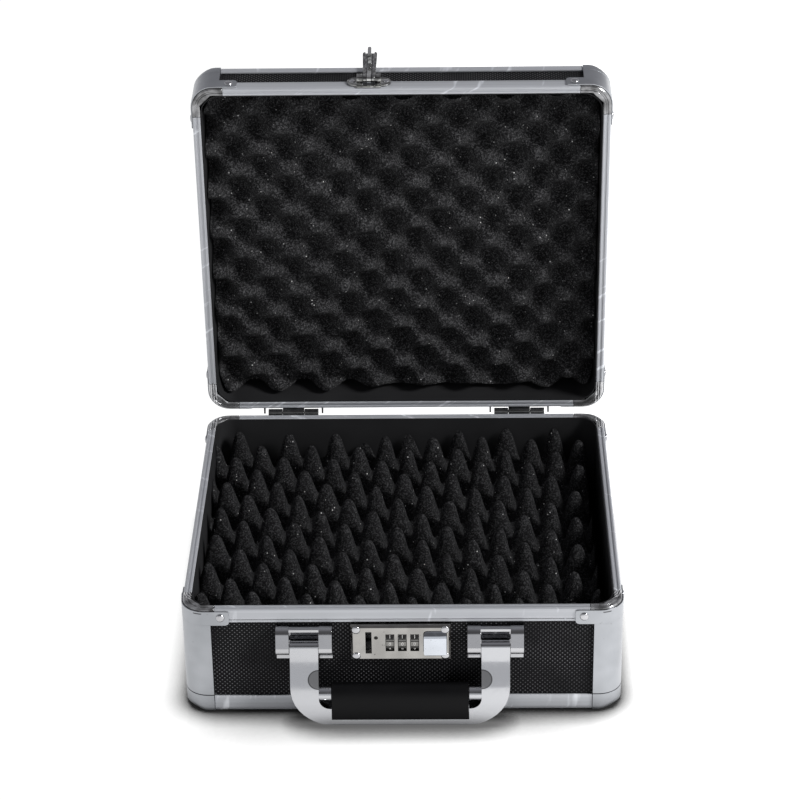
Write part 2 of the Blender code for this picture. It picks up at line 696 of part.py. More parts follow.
def build_bow(handle, finishes):
    """The metal bow: a flat U that leans outwards, its two barrels, and a spine that the grip closes on."""
    pivot_y = proud(PIVOT_PROUD)
    outer = MOUNT_OFFSET + ARM_WIDTH / 2
    inner = MOUNT_OFFSET - ARM_WIDTH / 2
    floor_inside = GRIP_TOP - BOW_FLOOR
    corner = HANDLE_OUTER_RADIUS
    bend = HANDLE_INNER_RADIUS
    outline = [(HANDLE_X - outer, PIVOT_Z)]
    outline += arc(HANDLE_X - outer + corner, HANDLE_BOTTOM + corner, corner, 180.0, 270.0, 10)
    outline += arc(HANDLE_X + outer - corner, HANDLE_BOTTOM + corner, corner, 270.0, 360.0, 10)
    outline += [(HANDLE_X + outer, PIVOT_Z), (HANDLE_X + inner, PIVOT_Z)]
    outline += arc(HANDLE_X + inner - bend, floor_inside + bend, bend, 0.0, -90.0, 6)
    outline += arc(HANDLE_X - inner + bend, floor_inside + bend, bend, -90.0, -180.0, 6)
    outline += [(HANDLE_X - inner, PIVOT_Z)]
    front_y = proud(HANDLE_FRONT + 1.0)
    bow_shape = prism("Y", outline, front_y, pivot_y + PIVOT_BARREL + 1.0)
    bow = solid("handle_bow", bow_shape, finishes["chrome"], handle)
    side = [(PIVOT_PROUD + PIVOT_BARREL, PIVOT_Z + 1.0)]
    for step in range(ARM_LEAN_STEPS + 1):
        share = step / ARM_LEAN_STEPS
        lean = ARM_LEAN * ((1.0 + math.cos(math.pi * share)) / 2) ** ARM_LEAN_POWER
        side.append((HANDLE_FRONT - lean, PIVOT_Z - ARM_LEAN_DROP * share))
    side += [
        (HANDLE_FRONT, HANDLE_BOTTOM + 1.2),
        (HANDLE_FRONT - 1.2, HANDLE_BOTTOM - 1.0),
        (HANDLE_FRONT - 14.5, HANDLE_BOTTOM - 1.0),
        (HANDLE_FRONT - 15.0, HANDLE_BOTTOM + 10.0),
        (HANDLE_FRONT - 14.0, PIVOT_Z - 38.0),
        (PIVOT_PROUD + 1.5, PIVOT_Z - 20.0),
        (PIVOT_PROUD - PIVOT_BARREL + 2.0, PIVOT_Z - 7.0),
        (PIVOT_PROUD - PIVOT_BARREL + 0.6, PIVOT_Z - 2.0),
        (PIVOT_PROUD - PIVOT_BARREL + 0.6, PIVOT_Z + 1.0),
    ]
    width = (HANDLE_X - outer - 1.0, HANDLE_X + outer + 1.0)
    combine(bow, prism("X", [(proud(out), z) for out, z in side], *width), "INTERSECT")
    grip_centre = proud(HANDLE_FRONT - 7.5)
    web_half = BOW_WEB / 2
    ends = (HANDLE_X - GRIP_HALF, HANDLE_X + GRIP_HALF)
    spine_top = HANDLE_BOTTOM + SPINE_HEIGHT
    over = GRIP_TOP + 4.0
    cut(bow, box((ends[0], proud(HANDLE_FRONT + 2.0), spine_top), (ends[1], grip_centre - web_half, over)))
    cut(bow, box((ends[0], grip_centre + web_half, spine_top), (ends[1], proud(0.0), over)))
    for sign in (-1, 1):
        centre = HANDLE_X + sign * MOUNT_OFFSET
        half = ARM_WIDTH / 2
        join(bow, rod(PIVOT_BARREL, centre - half, centre + half, pivot_y, PIVOT_Z, 24))
        boss = sorted((HANDLE_X + sign * (GRIP_HALF + 0.2), HANDLE_X + sign * (inner + 3.0)))
        join(bow, rod(BOSS_RADIUS, boss[0], boss[1], grip_centre, GRIP_TOP - BOSS_DROP, 20))
        cut(bow, rod(HANDLE_PIN + PIN_PLAY, centre - half - 1.0, centre + half + 1.0, pivot_y, PIVOT_Z))
    round_off(bow)

    grip_low = spine_top + GAP
    half_depth = GRIP_HALF_DEPTH
    lower = [(grip_centre + half_depth - 1.0, grip_low), (grip_centre - half_depth + 1.0, grip_low)]
    crown = []
    for across, up in arc(0.0, 0.0, 1.0, 180.0, 0.0, 14):
        crown.append((grip_centre + half_depth * across, GRIP_TOP - GRIP_CROWN + GRIP_CROWN * up))
    shoulder = [(grip_centre - half_depth, grip_low + 2.5)]
    far_shoulder = [(grip_centre + half_depth, grip_low + 2.5)]
    section = lower + shoulder + crown + far_shoulder
    grip_half = GRIP_HALF - GAP
    grip = solid("handle_grip", prism("X", section, HANDLE_X - grip_half, HANDLE_X + grip_half),
                 finishes["rubber"], handle)
    slot_half = web_half + GAP
    web_top = floor_inside + GAP
    slot_low = (ends[0] - 1.0, grip_centre - slot_half, grip_low - 1.0)
    cut(grip, box(slot_low, (ends[1] + 1.0, grip_centre + slot_half, web_top)))
    round_off(grip)


# ---------------------------------------------------------------- hasp

def build_hasp(lid, hasp, finishes):
    """The bracket riveted to the lid's rim, its pin, and the arm whose tongue drops into the lock's slot."""
    ear_radius = 6.8
    ear_x = 17.5 - ear_radius
    ear_z = LID_RIM_Z + 8.9
    outline = arc(HASP_X + ear_x, ear_z, ear_radius, -90.0, 90.0, 8)
    outline += arc(HASP_X - ear_x, ear_z, ear_radius, 90.0, 270.0, 8)
    plate_front = proud(GAP + 1.2)
    bracket = solid("hasp_bracket", prism("Y", outline, plate_front, proud(GAP)), finishes["chrome"], lid)
    knuckle_in = HASP_ROOT_WIDTH / 2 + 0.4
    knuckle_out = knuckle_in + 4.6
    lip_low = LID_RIM_Z - 0.2
    back_low = (HASP_X - knuckle_out, plate_front, lip_low)
    join(bracket, box(back_low, (HASP_X + knuckle_out, proud(GAP), ear_z + 7.6)))
    for sign in (-1, 1):
        x = sorted((HASP_X + sign * knuckle_in, HASP_X + sign * knuckle_out))
        join(bracket, rod(HASP_BARREL, x[0], x[1], HASP_PIVOT_Y, HASP_PIVOT_Z, 20))
        web_half = HASP_BARREL - 0.4
        web_low = (x[0], HASP_PIVOT_Y, HASP_PIVOT_Z - web_half)
        join(bracket, box(web_low, (x[1], proud(GAP + 0.5), HASP_PIVOT_Z + web_half)))
    window_low = (HASP_X - knuckle_in, plate_front - 1.0, LID_RIM_Z + 2.6)
    cut(bracket, box(window_low, (HASP_X + knuckle_in, proud(0.0), ear_z + 9.0)))
    hole_half = knuckle_out + 1.0
    cut(bracket, rod(HASP_PIN + PIN_PLAY, HASP_X - hole_half, HASP_X + hole_half, HASP_PIVOT_Y, HASP_PIVOT_Z, 12))
    round_off(bracket)
    pin_half = knuckle_out - 0.3
    pin = solid("hasp_pin", rod(HASP_PIN, HASP_X - pin_half, HASP_X + pin_half, HASP_PIVOT_Y, HASP_PIVOT_Z, 12),
                finishes["steel"], lid)
    round_off(pin)

    outside = proud(HASP_PIVOT_PROUD + 3.2)
    root = HASP_ROOT_WIDTH / 2
    tip = HASP_TIP_WIDTH / 2
    end_z = HASP_PIVOT_Z - HASP_LENGTH
    flare_z = HASP_PIVOT_Z - 16.0
    half_outline = [(root, HASP_PIVOT_Z), (root, HASP_PIVOT_Z - 6.0), (tip - 0.6, flare_z), (tip, end_z + 6.0)]
    half_outline += [(x, z) for x, z in arc(tip - 2.5, end_z + 2.5, 2.5, 0.0, -90.0, 4)]
    plate_outline = [(HASP_X + x, z) for x, z in half_outline]
    plate_outline += [(HASP_X - x, z) for x, z in reversed(half_outline)]
    channel = proud(LOCK_PROUD + 0.6)
    arm = solid("hasp_arm", prism("Y", plate_outline, outside, channel), finishes["chrome"], hasp)
    inside = outside + HASP_SKIN
    trough = root - HASP_SKIN
    cut(arm, box((HASP_X - trough, inside, end_z - 1.0), (HASP_X + trough, channel + 1.0, HASP_PIVOT_Z - 6.5)))
    join(arm, rod(HASP_BARREL, HASP_X - root, HASP_X + root, HASP_PIVOT_Y, HASP_PIVOT_Z, 20))
    tongue_top = HASP_PIVOT_Z - 29.0
    tongue_end = end_z + 2.2
    tongue_in = outside + 10.5
    tongue = [(inside - 0.5, tongue_top), (tongue_in - 1.5, tongue_top - 0.6), (tongue_in, tongue_top - 4.0),
              (tongue_in, tongue_end + 4.5), (tongue_in - 3.0, tongue_end), (inside - 0.5, tongue_end)]
    join(arm, prism("X", tongue, HASP_X - TONGUE_HALF, HASP_X + TONGUE_HALF))
    for sign in (-1, 1):
        taper = [
            (HASP_X + sign * (TONGUE_HALF + 0.5), tongue_end + TONGUE_TAPER),
            (HASP_X + sign * TONGUE_HALF, tongue_end + TONGUE_TAPER),
            (HASP_X + sign * TONGUE_EDGE, tongue_end - 0.5),
            (HASP_X + sign * (TONGUE_HALF + 0.5), tongue_end - 0.5),
        ]
        cut(arm, prism("Y", taper, inside + 0.2, tongue_in + 1.0))
    cut(arm, rod(HASP_PIN + PIN_PLAY, HASP_X - root - 1.0, HASP_X + root + 1.0, HASP_PIVOT_Y, HASP_PIVOT_Z, 12))
    round_off(arm)


# ---------------------------------------------------------------- hinges

def build_hinges(base, lid, finishes):
    """Two butt hinges behind the case, each with a base leaf, a lid leaf and a pin."""
    leaf_front = BACK + GAP
    leaf_back = leaf_front + LEAF_SKIN
    half = HINGE_WIDTH / 2
    middle_half = 9.0
    outer_end = 21.0
    leaf_length = 24.0
    for sign, place in ((-1, "left"), (1, "right")):
        centre = sign * HINGE_X
        base_top = HINGE_Z - HINGE_KNUCKLE - 0.2
        lower = box((centre - half, leaf_front, base_top - leaf_length), (centre + half, leaf_back, base_top))
        base_leaf = solid(f"hinge_base_leaf_{place}", lower, finishes["chrome"], base)
        for side in (-1, 1):
            x = sorted((centre + side * (middle_half + GAP), centre + side * outer_end))
            join(base_leaf, box((x[0], leaf_front, base_top - 2.0), (x[1], leaf_back, HINGE_Z)))
            join(base_leaf, rod(HINGE_KNUCKLE, x[0], x[1], HINGE_Y, HINGE_Z, 16))
        upper_low = HINGE_Z + HINGE_KNUCKLE + 0.4
        upper = box((centre - half, leaf_front, upper_low), (centre + half, leaf_back, upper_low + leaf_length))
        lid_leaf = solid(f"hinge_lid_leaf_{place}", upper, finishes["chrome"], lid)
        tab_low = (centre - middle_half, leaf_front, HINGE_Z)
        join(lid_leaf, box(tab_low, (centre + middle_half, leaf_back, upper_low + 2.0)))
        join(lid_leaf, rod(HINGE_KNUCKLE, centre - middle_half, centre + middle_half, HINGE_Y, HINGE_Z, 16))
        gusset = [
            (leaf_front, HINGE_Z + 0.8),
            (leaf_front + 5.0, HINGE_Z + 0.8),
            (leaf_front + 5.0, HINGE_Z + 4.0),
            (leaf_back, upper_low + 12.0),
            (leaf_front, upper_low + 12.0),
        ]
        for side in (-1, 1):
            x = sorted((centre + side * half, centre + side * (half - 1.4)))
            join(lid_leaf, prism("X", gusset, x[0], x[1]))
        hole = rod(HINGE_PIN + PIN_PLAY, centre - outer_end - 1.0, centre + outer_end + 1.0, HINGE_Y, HINGE_Z, 12)
        cut(base_leaf, hole)
        cut(lid_leaf, hole)
        round_off(base_leaf)
        round_off(lid_leaf)
        pin_shape = rod(HINGE_PIN, centre - outer_end + 0.2, centre + outer_end - 0.2, HINGE_Y, HINGE_Z, 12)
        round_off(solid(f"hinge_pin_{place}", pin_shape, finishes["steel"], base))


# ---------------------------------------------------------------- the case

def make_finishes():
    """One plain surface for each material."""
    return {
        "aluminium": material("brushed_aluminium", (0.72, 0.74, 0.78), 0.35, 1.0),
        "chrome": material("chrome", (0.80, 0.80, 0.80), 0.12, 1.0),
        "steel": material("steel", (0.55, 0.55, 0.55), 0.35, 1.0),
        "panel": material("black_panel", (0.012, 0.012, 0.014), 0.45, 0.0),
        "foam": material("black_foam", (0.010, 0.010, 0.011), 0.95, 0.0),
        "rubber": material("black_grip", (0.012, 0.012, 0.013), 0.35, 0.0),
        "dial": material("dial_metal", (0.45, 0.45, 0.45), 0.3, 1.0),
    }


def centre_on_origin(base):
    """Moves the whole case along Y so that its box stands centred on the origin."""
    bpy.context.view_layer.update()
    ys = []
    for piece in bpy.context.scene.objects:
        if piece.type == "MESH":
            ys += [(piece.matrix_world @ vertex.co).y for vertex in piece.data.vertices]
    base.location.y = -(min(ys) + max(ys)) / 2


def main():
    for old in list(bpy.data.objects):
        bpy.data.objects.remove(old)
    finishes = make_finishes()
    base = empty("base_frame", (0.0, 0.0, 0.0))
    lid = empty("lid_frame", (0.0, HINGE_Y, HINGE_Z), base)
    hasp = empty("hasp_frame", (HASP_X, HASP_PIVOT_Y, HASP_PIVOT_Z), lid)
    handle = empty("handle_frame", (HANDLE_X, proud(PIVOT_PROUD), PIVOT_Z), base)

    base_tray = Tray("base", base, BASE_HEIGHT, -1, BASE_HEIGHT, BASE_EDGE)
    lid_tray = Tray("lid", lid, LID_RIM_Z, 1, LID_HEIGHT, LID_EDGE)
    base_shell = build_tray(base_tray, finishes)
    build_tray(lid_tray, finishes)
    floor = BASE_HEIGHT - EDGE_SKIN - GAP - FLOOR_THICKNESS - GAP
    pad_top = floor - PAD_THICKNESS
    foam = finishes["foam"]
    solid("base_foam_pad", foam_block(base_tray, floor, pad_top), foam, base)
    base_foam = foam_block(base_tray, pad_top - GAP, BASE_FOAM_DEPTH)
    solid("base_foam_convoluted", base_foam, foam, base)
    lid_floor = LID_HEIGHT - EDGE_SKIN - GAP - FLOOR_THICKNESS - GAP
    solid("lid_foam_convoluted", foam_block(lid_tray, lid_floor, LID_FOAM_DEPTH), foam, lid)

    build_lock(base, base_shell, finishes)
    build_handle(base, handle, finishes)
    build_hasp(lid, hasp, finishes)
    build_hinges(base, lid, finishes)
    lid.rotation_euler.x = -math.radians(LID_OPEN_DEG)
    hasp.rotation_euler.x = -math.radians(HASP_FOLD_DEG)
    centre_on_origin(base)


main()
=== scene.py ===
"""Looks of an open aluminium attache case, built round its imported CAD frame.

Lengths are in millimetres in the closed case's own axes: +X right, +Y to the hinges, +Z up, and Y zero at
mid-depth. The matrices BASE and LID carry them to where each body stands at rest, in metres. Shaders work in
metres.
"""

import json
import math

import bmesh
import bpy
import numpy as np
from mathutils import Matrix, Vector


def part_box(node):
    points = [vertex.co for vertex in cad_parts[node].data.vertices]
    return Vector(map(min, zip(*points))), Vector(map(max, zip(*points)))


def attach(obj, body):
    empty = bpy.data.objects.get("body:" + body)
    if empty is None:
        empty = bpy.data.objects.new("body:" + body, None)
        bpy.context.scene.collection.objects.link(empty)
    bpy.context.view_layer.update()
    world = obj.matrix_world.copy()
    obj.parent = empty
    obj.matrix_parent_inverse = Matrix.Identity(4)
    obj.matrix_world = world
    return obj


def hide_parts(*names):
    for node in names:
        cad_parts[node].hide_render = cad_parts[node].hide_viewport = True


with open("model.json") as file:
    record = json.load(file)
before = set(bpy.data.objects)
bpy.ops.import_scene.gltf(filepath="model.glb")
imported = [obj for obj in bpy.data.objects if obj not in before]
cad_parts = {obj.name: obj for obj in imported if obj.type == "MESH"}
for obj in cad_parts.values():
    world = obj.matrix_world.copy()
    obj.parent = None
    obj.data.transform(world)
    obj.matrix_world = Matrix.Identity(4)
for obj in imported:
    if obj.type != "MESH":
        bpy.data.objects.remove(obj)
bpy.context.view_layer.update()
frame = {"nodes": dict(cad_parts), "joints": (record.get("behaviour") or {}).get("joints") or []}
MM = 0.001

# The camera, in metres and degrees
CAMERA_PLACE = (0.03628, -1.86898, 1.21174)
CAMERA_LENS = 123.08
CAMERA_PITCH = 28.83
CAMERA_YAW = -1.18
CAMERA_ROLL = -0.91


def joint(name):
    """A joint's row in the record."""
    return next(row for row in frame["joints"] if row["name"] == name)


def turned(name, degrees):
    """A turn about a joint's axis, from where it is at rest."""
    pivot = Vector(joint(name)["pos_m"])
    turn = Matrix.Rotation(math.radians(degrees), 4, Vector(joint(name)["axis"]))
    return Matrix.Translation(pivot) @ turn @ Matrix.Translation(-pivot)


def side_of(node, corner, axis):
    """One coordinate of a CAD node's box, in millimetres."""
    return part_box(node)[corner][axis] / MM


# The case, read off the frame
FRONT_WORLD = side_of("base_rim_front", 0, 1)
BACK_WORLD = side_of("base_rim_back", 1, 1)
HALF_WIDTH = side_of("base_rim_right", 1, 0)
HALF_DEPTH = (BACK_WORLD - FRONT_WORLD) / 2
BASE_HEIGHT = side_of("base_rim_front", 1, 2)
PARTING_GAP = 0.5
LID_HEIGHT = 40.5
LID_OPEN = joint("lid_hinge")["range_deg"][1]
CENTRE_Y = (FRONT_WORLD + BACK_WORLD) / 2
LID_RIM_Z = BASE_HEIGHT + PARTING_GAP

BASE = Matrix.Translation((0.0, CENTRE_Y * MM, 0.0)) @ Matrix.Scale(MM, 4)
LID = turned("lid_hinge", -LID_OPEN) @ BASE

# Extrusions, covers and hardware, as the CAD draws them
RIM_WIDTH = 6.2
CORNER_RADIUS = 17.0
EAR_PROUD = 1.1
LEAF_PROUD = 1.5
HARDWARE_X = -1.2
LOCK_Z = 65.5
LOCK_PROUD = 4.5
HASP_X = -25.3
HINGE_X = 94.9
ARM_WIDTH = 21.3

# Marks that the shaders draw: painted shade on the bow's scoops and in the covers' creases, and the covers'
# dark seams
SCOOP_DROP = 22.5
SCOOP_REACH = 8.0
SCOOP_HALF_HEIGHT = 7.0
CREASE_INSET = 12.0
CREASE_LENGTH = 6.9
CREASE_DEPTH = 3.5
SEAM_DEPTH = {"base": BASE_HEIGHT - 16.0, "lid": LID_HEIGHT - 12.0}

# The figures on the dials, which the CAD lacks
DIAL_DIGITS = {"left": 0, "middle": 0, "right": 0}
DIGIT_HEIGHT = 2.9
DIGIT_PROUD = 0.05
DIGIT_HALF_DEPTH = 0.5
FONT_SIZE_PER_HEIGHT = 1.4
FIGURES = 10

# Rivets: the dome's radius and height, and how far apart they stand
EAR_RIVET = (3.35, 1.5)
LOCK_RIVET = (3.2, 1.2)
HASP_RIVET = (2.4, 1.0)
HINGE_RIVET = (2.2, 0.9)
EAR_RIVET_FROM_SIDE = 29.1
LOCK_RIVET_X = 33.35
LOCK_RIVET_Z = 11.6
HASP_RIVET_X = 13.2
HINGE_RIVET_STEPS = (-17.0, 0.0, 17.0)

# Shader lengths in metres: where each line's edge fades, and how far the floor looks for what is over it to
# paint its shadow
SEAM_FADE = (0.00025, 0.00060)
CREASE_FADE = (0.0003, 0.0007)
CHANNEL_FADE = (0.0020, 0.0025)
TONGUE_FADE = (0.0014, 0.0018)
FLOOR_TIGHT_REACH = 0.022
FLOOR_WIDE_REACH = 0.075

# Small edges on the CAD nodes, in metres
WELD_REACH = 0.00001
EDGE_WIDTH = 0.0003
EDGE_ANGLE = 32.0


# ---------------------------------------------------------------- node trees

def node(tree, kind, inputs=None, **settings):
    """A shader node with its settings, its values and its links. An input that is a socket is linked."""
    made = tree.nodes.new(kind)
    for name, value in settings.items():
        setattr(made, name, value)
    for name, value in (inputs or {}).items():
        if isinstance(value, bpy.types.NodeSocket):
            tree.links.new(value, made.inputs[name])
        else:
            made.inputs[name].default_value = value
    return made


def maths(tree, operation, first, second=0.0):
    """The result of one Math node."""
    return node(tree, "ShaderNodeMath", {0: first, 1: second}, operation=operation).outputs[0]


def blend(tree, share, low, high):
    """A colour between two, by a share."""
    made = node(tree, "ShaderNodeMix", {"Factor": share}, data_type="RGBA")
    for socket, value in zip(made.inputs[6:8], (low, high)):
        if isinstance(value, bpy.types.NodeSocket):
            tree.links.new(value, socket)
        else:
            socket.default_value = (*value, 1.0)
    return made.outputs[2]


def between(tree, value, from_low, from_high, to_low=0.0, to_high=1.0):
    """A value carried from one range to another, and kept inside it."""
    made = node(tree, "ShaderNodeMapRange", {
        "Value": value, "From Min": from_low, "From Max": from_high, "To Min": to_low, "To Max": to_high})
    return made.outputs[0]


def case_coordinates(tree, lid_side=False):
    """Object coordinates, turned back to the closed case's axes for a piece on the lid."""
    place = node(tree, "ShaderNodeTexCoord").outputs["Object"]
    if not lid_side:
        return place
    turn = (math.radians(LID_OPEN), 0.0, 0.0)
    return node(tree, "ShaderNodeMapping", {"Vector": place, "Rotation": turn}).outputs[0]


def noise(tree, place, scale, detail):
    """Noise of one size in every direction."""
    made = node(tree, "ShaderNodeTexNoise", {"Vector": place, "Scale": scale, "Detail": detail})
    return made.outputs[0]


def stretched(tree, place, scale, detail):
    """Noise stretched along the axes."""
    spread = node(tree, "ShaderNodeMapping", {"Vector": place, "Scale": scale}).outputs[0]
    return noise(tree, spread, 1.0, detail)


def start(name):
    """A new material with its tree and its Principled shader."""
    made = bpy.data.materials.new(name)
    made.use_nodes = True
    return made, made.node_tree, made.node_tree.nodes["Principled BSDF"]


def feed(tree, shader, values):
    """Sets or links the Principled shader's inputs."""
    for name, value in values.items():
        if isinstance(value, bpy.types.NodeSocket):
            tree.links.new(value, shader.inputs[name])
        elif name.endswith("Color") or name.endswith("Tint"):
            shader.inputs[name].default_value = (*value, 1.0)
        else:
            shader.inputs[name].default_value = value


def bump(tree, height, strength, distance):
    """A normal bent by a height."""
    made = node(tree, "ShaderNodeBump", {"Height": height, "Strength": strength, "Distance": distance})
    return made.outputs[0]


# ---------------------------------------------------------------- materials

def brushed(name, along, lid_side=False):
    """Pale anodised aluminium drawn along one axis: die lines, soft smears and a few slanting scratches."""
    made, tree, shader = start(name)
    place = case_coordinates(tree, lid_side)

    def drawn(run, cross, detail):
        return stretched(tree, place, [run if axis == along else cross for axis in range(3)], detail)

    grain = drawn(9.0, 1400.0, 3.0)
    smear = drawn(3.0, 24.0, 3.0)
    lines = between(tree, drawn(1.5, 330.0, 2.0), 0.40, 0.62)
    slant = node(tree, "ShaderNodeMapping", {"Vector": place, "Rotation": (0.5, 0.6, 0.7)}).outputs[0]
    scuff = between(tree, stretched(tree, slant, (9.0, 210.0, 30.0), 2.0), 0.62, 0.72)
    tone = blend(tree, between(tree, smear, 0.32, 0.68), (0.37, 0.38, 0.405), (0.50, 0.512, 0.54))
    tone = blend(tree, maths(tree, "MULTIPLY", lines, 0.35), tone, (0.33, 0.34, 0.36))
    tone = blend(tree, maths(tree, "MULTIPLY", scuff, 0.65), tone, (0.86, 0.88, 0.92))
    rough = maths(tree, "ADD", between(tree, smear, 0.25, 0.75, 0.24, 0.40),
                  maths(tree, "MULTIPLY", grain, 0.10))
    feed(tree, shader, {"Base Color": tone, "Metallic": 0.38, "Roughness": rough,
                        "Normal": bump(tree, grain, 0.10, 0.0001)})
    return made


def crease(tree, place, height):
    """Painted shade for the short fold in each lower cover, just under the rim and beside the corner."""
    across = maths(tree, "ABSOLUTE", node(tree, "ShaderNodeSeparateXYZ", {0: place}).outputs[0])
    middle = (HALF_WIDTH - CREASE_INSET) * MM
    off_middle = maths(tree, "ABSOLUTE", maths(tree, "SUBTRACT", across, middle))
    off_line = maths(tree, "ABSOLUTE", maths(tree, "SUBTRACT", height, (BASE_HEIGHT - CREASE_DEPTH) * MM))
    along = between(tree, off_middle, 0.4 * CREASE_LENGTH * MM, 0.5 * CREASE_LENGTH * MM, 1.0, 0.0)
    return maths(tree, "MULTIPLY", along, between(tree, off_line, *CREASE_FADE, 1.0, 0.0))


def cover_metal(name, tray):
    """The corner covers' aluminium: smooth, with a dark seam line round the ball cap and faint dents; the
    lower covers also get painted shade in a short fold.
    """
    made, tree, shader = start(name)
    place = case_coordinates(tree, tray == "lid")
    height = node(tree, "ShaderNodeSeparateXYZ", {0: place}).outputs[2]
    seam = tray_z(tray, SEAM_DEPTH[tray]) * MM
    off_seam = maths(tree, "ABSOLUTE", maths(tree, "SUBTRACT", height, seam))
    line = between(tree, off_seam, *SEAM_FADE, 1.0, 0.0)
    cloud = noise(tree, place, 38.0, 2.0)
    speck = noise(tree, place, 420.0, 2.0)
    tone = blend(tree, between(tree, cloud, 0.35, 0.65), (0.34, 0.352, 0.372), (0.42, 0.432, 0.456))
    tone = blend(tree, between(tree, speck, 0.70, 0.76), tone, (0.30, 0.31, 0.32))
    tone = blend(tree, line, tone, (0.05, 0.05, 0.055))
    if tray == "base":
        # Painted shade: a dark line where the fold under the rim would shade itself
        tone = blend(tree, crease(tree, place, height), tone, (0.09, 0.09, 0.095))
    feed(tree, shader, {"Base Color": tone, "Metallic": 1.0,
                        "Roughness": between(tree, cloud, 0.3, 0.7, 0.32, 0.42),
                        "Normal": bump(tree, cloud, 0.25, 0.0006)})
    return made


def inset_of(tree, place):
    """How far a place on a corner lies in from the case's outline, in metres."""
    x, y, _ = node(tree, "ShaderNodeSeparateXYZ", {0: place}).outputs
    beyond = []
    for value, half in ((x, HALF_WIDTH), (y, HALF_DEPTH)):
        from_centre = maths(tree, "SUBTRACT", maths(tree, "ABSOLUTE", value), (half - CORNER_RADIUS) * MM)
        beyond.append(maths(tree, "MAXIMUM", from_centre, 0.0))
    square = maths(tree, "ADD", maths(tree, "MULTIPLY", beyond[0], beyond[0]),
                   maths(tree, "MULTIPLY", beyond[1], beyond[1]))
    return maths(tree, "SUBTRACT", CORNER_RADIUS * MM, maths(tree, "SQRT", square))


def ridged_chrome(name, lid_side=False):
    """The rim's corner inserts: dark plating with raised lines that run round the corner, lit by a painted
    highlight.
    """
    made, tree, shader = start(name)
    place = case_coordinates(tree, lid_side)
    inset = inset_of(tree, place)
    ridges_and_highlight = None
    for middle, width in ((0.2, 0.60), (2.0, 0.55), (3.9, 0.45), (6.1, 0.60)):
        off = maths(tree, "ABSOLUTE", maths(tree, "SUBTRACT", inset, middle * MM))
        ridge = between(tree, off, width * 0.5 * MM, width * 1.3 * MM, 1.0, 0.0)
        ridges_and_highlight = ridge if ridges_and_highlight is None else maths(tree, "MAXIMUM", ridges_and_highlight, ridge)
    cloud = noise(tree, place, 130.0, 2.0)
    dull = blend(tree, between(tree, cloud, 0.35, 0.65), (0.12, 0.12, 0.122), (0.36, 0.36, 0.37))
    # Painted highlight: the raised lines are painted near white over the dark plating
    tone = blend(tree, ridges_and_highlight, dull, (0.78, 0.78, 0.79))
    feed(tree, shader, {"Base Color": tone, "Metallic": 0.7,
                        "Roughness": between(tree, cloud, 0.4, 0.7, 0.14, 0.30),
                        "Normal": bump(tree, ridges_and_highlight, 0.7, 0.0004)})
    return made


def bright_metal(name, colour, roughness, ripple=0.15, blotch=0.0, cell=90.0):
    """Plated metal: nearly a mirror, with slight waves, darker blotches and finger marks."""
    made, tree, shader = start(name)
    place = case_coordinates(tree)
    wave = noise(tree, place, cell, 1.0)
    marks = noise(tree, place, 260.0, 4.0)
    pits = noise(tree, place, 560.0, 1.0)
    rough = between(tree, marks, 0.45, 0.75, roughness, roughness + 0.14)
    dim = tuple(part * (1.0 - blotch) for part in colour)
    tone = blend(tree, between(tree, wave, 0.38, 0.62), dim, colour)
    tone = blend(tree, between(tree, pits, 0.745, 0.775), tone, tuple(part * 0.35 for part in colour))
    feed(tree, shader, {"Base Color": tone, "Metallic": 1.0, "Roughness": rough,
                        "Normal": bump(tree, wave, ripple, 0.0008)})
    return made


def bow_metal(name, colour):
    """The bow's plating: smooth, with painted shade for a scoop on each arm's inner edge."""
    made, tree, shader = start(name)
    place = case_coordinates(tree)
    x, _, z = node(tree, "ShaderNodeSeparateXYZ", {0: place}).outputs
    handle_x = joint("handle_swing")["pos_m"][0]
    inner_edge = (side_of("handle_bow", 1, 0) - side_of("handle_bow", 0, 0)) / 2 - ARM_WIDTH
    scoop_z = joint("handle_swing")["pos_m"][2] / MM - SCOOP_DROP
    from_edge = maths(tree, "SUBTRACT", maths(tree, "ABSOLUTE", maths(tree, "SUBTRACT", x, handle_x)),
                      inner_edge * MM)
    across = maths(tree, "DIVIDE", from_edge, SCOOP_REACH * MM)
    along = maths(tree, "DIVIDE", maths(tree, "SUBTRACT", z, scoop_z * MM), SCOOP_HALF_HEIGHT * MM)
    reach = maths(tree, "SQRT", maths(tree, "ADD", maths(tree, "MULTIPLY", across, across),
                                      maths(tree, "MULTIPLY", along, along)))
    wave = noise(tree, place, 45.0, 1.0)
    marks = noise(tree, place, 260.0, 4.0)
    # Painted shade: a dark-grey patch with a darker rim stands in for the scoop's facet, which the mesh lacks
    painted_scoop_shade = blend(tree, between(tree, reach, 0.88, 0.96), (0.20, 0.20, 0.205), (0.05, 0.05, 0.052))
    tone = blend(tree, between(tree, reach, 0.98, 1.04), painted_scoop_shade, colour)
    feed(tree, shader, {"Base Color": tone, "Metallic": 1.0,
                        "Roughness": between(tree, marks, 0.45, 0.75, 0.14, 0.24),
                        "Normal": bump(tree, wave, 0.08, 0.0008)})
    return made


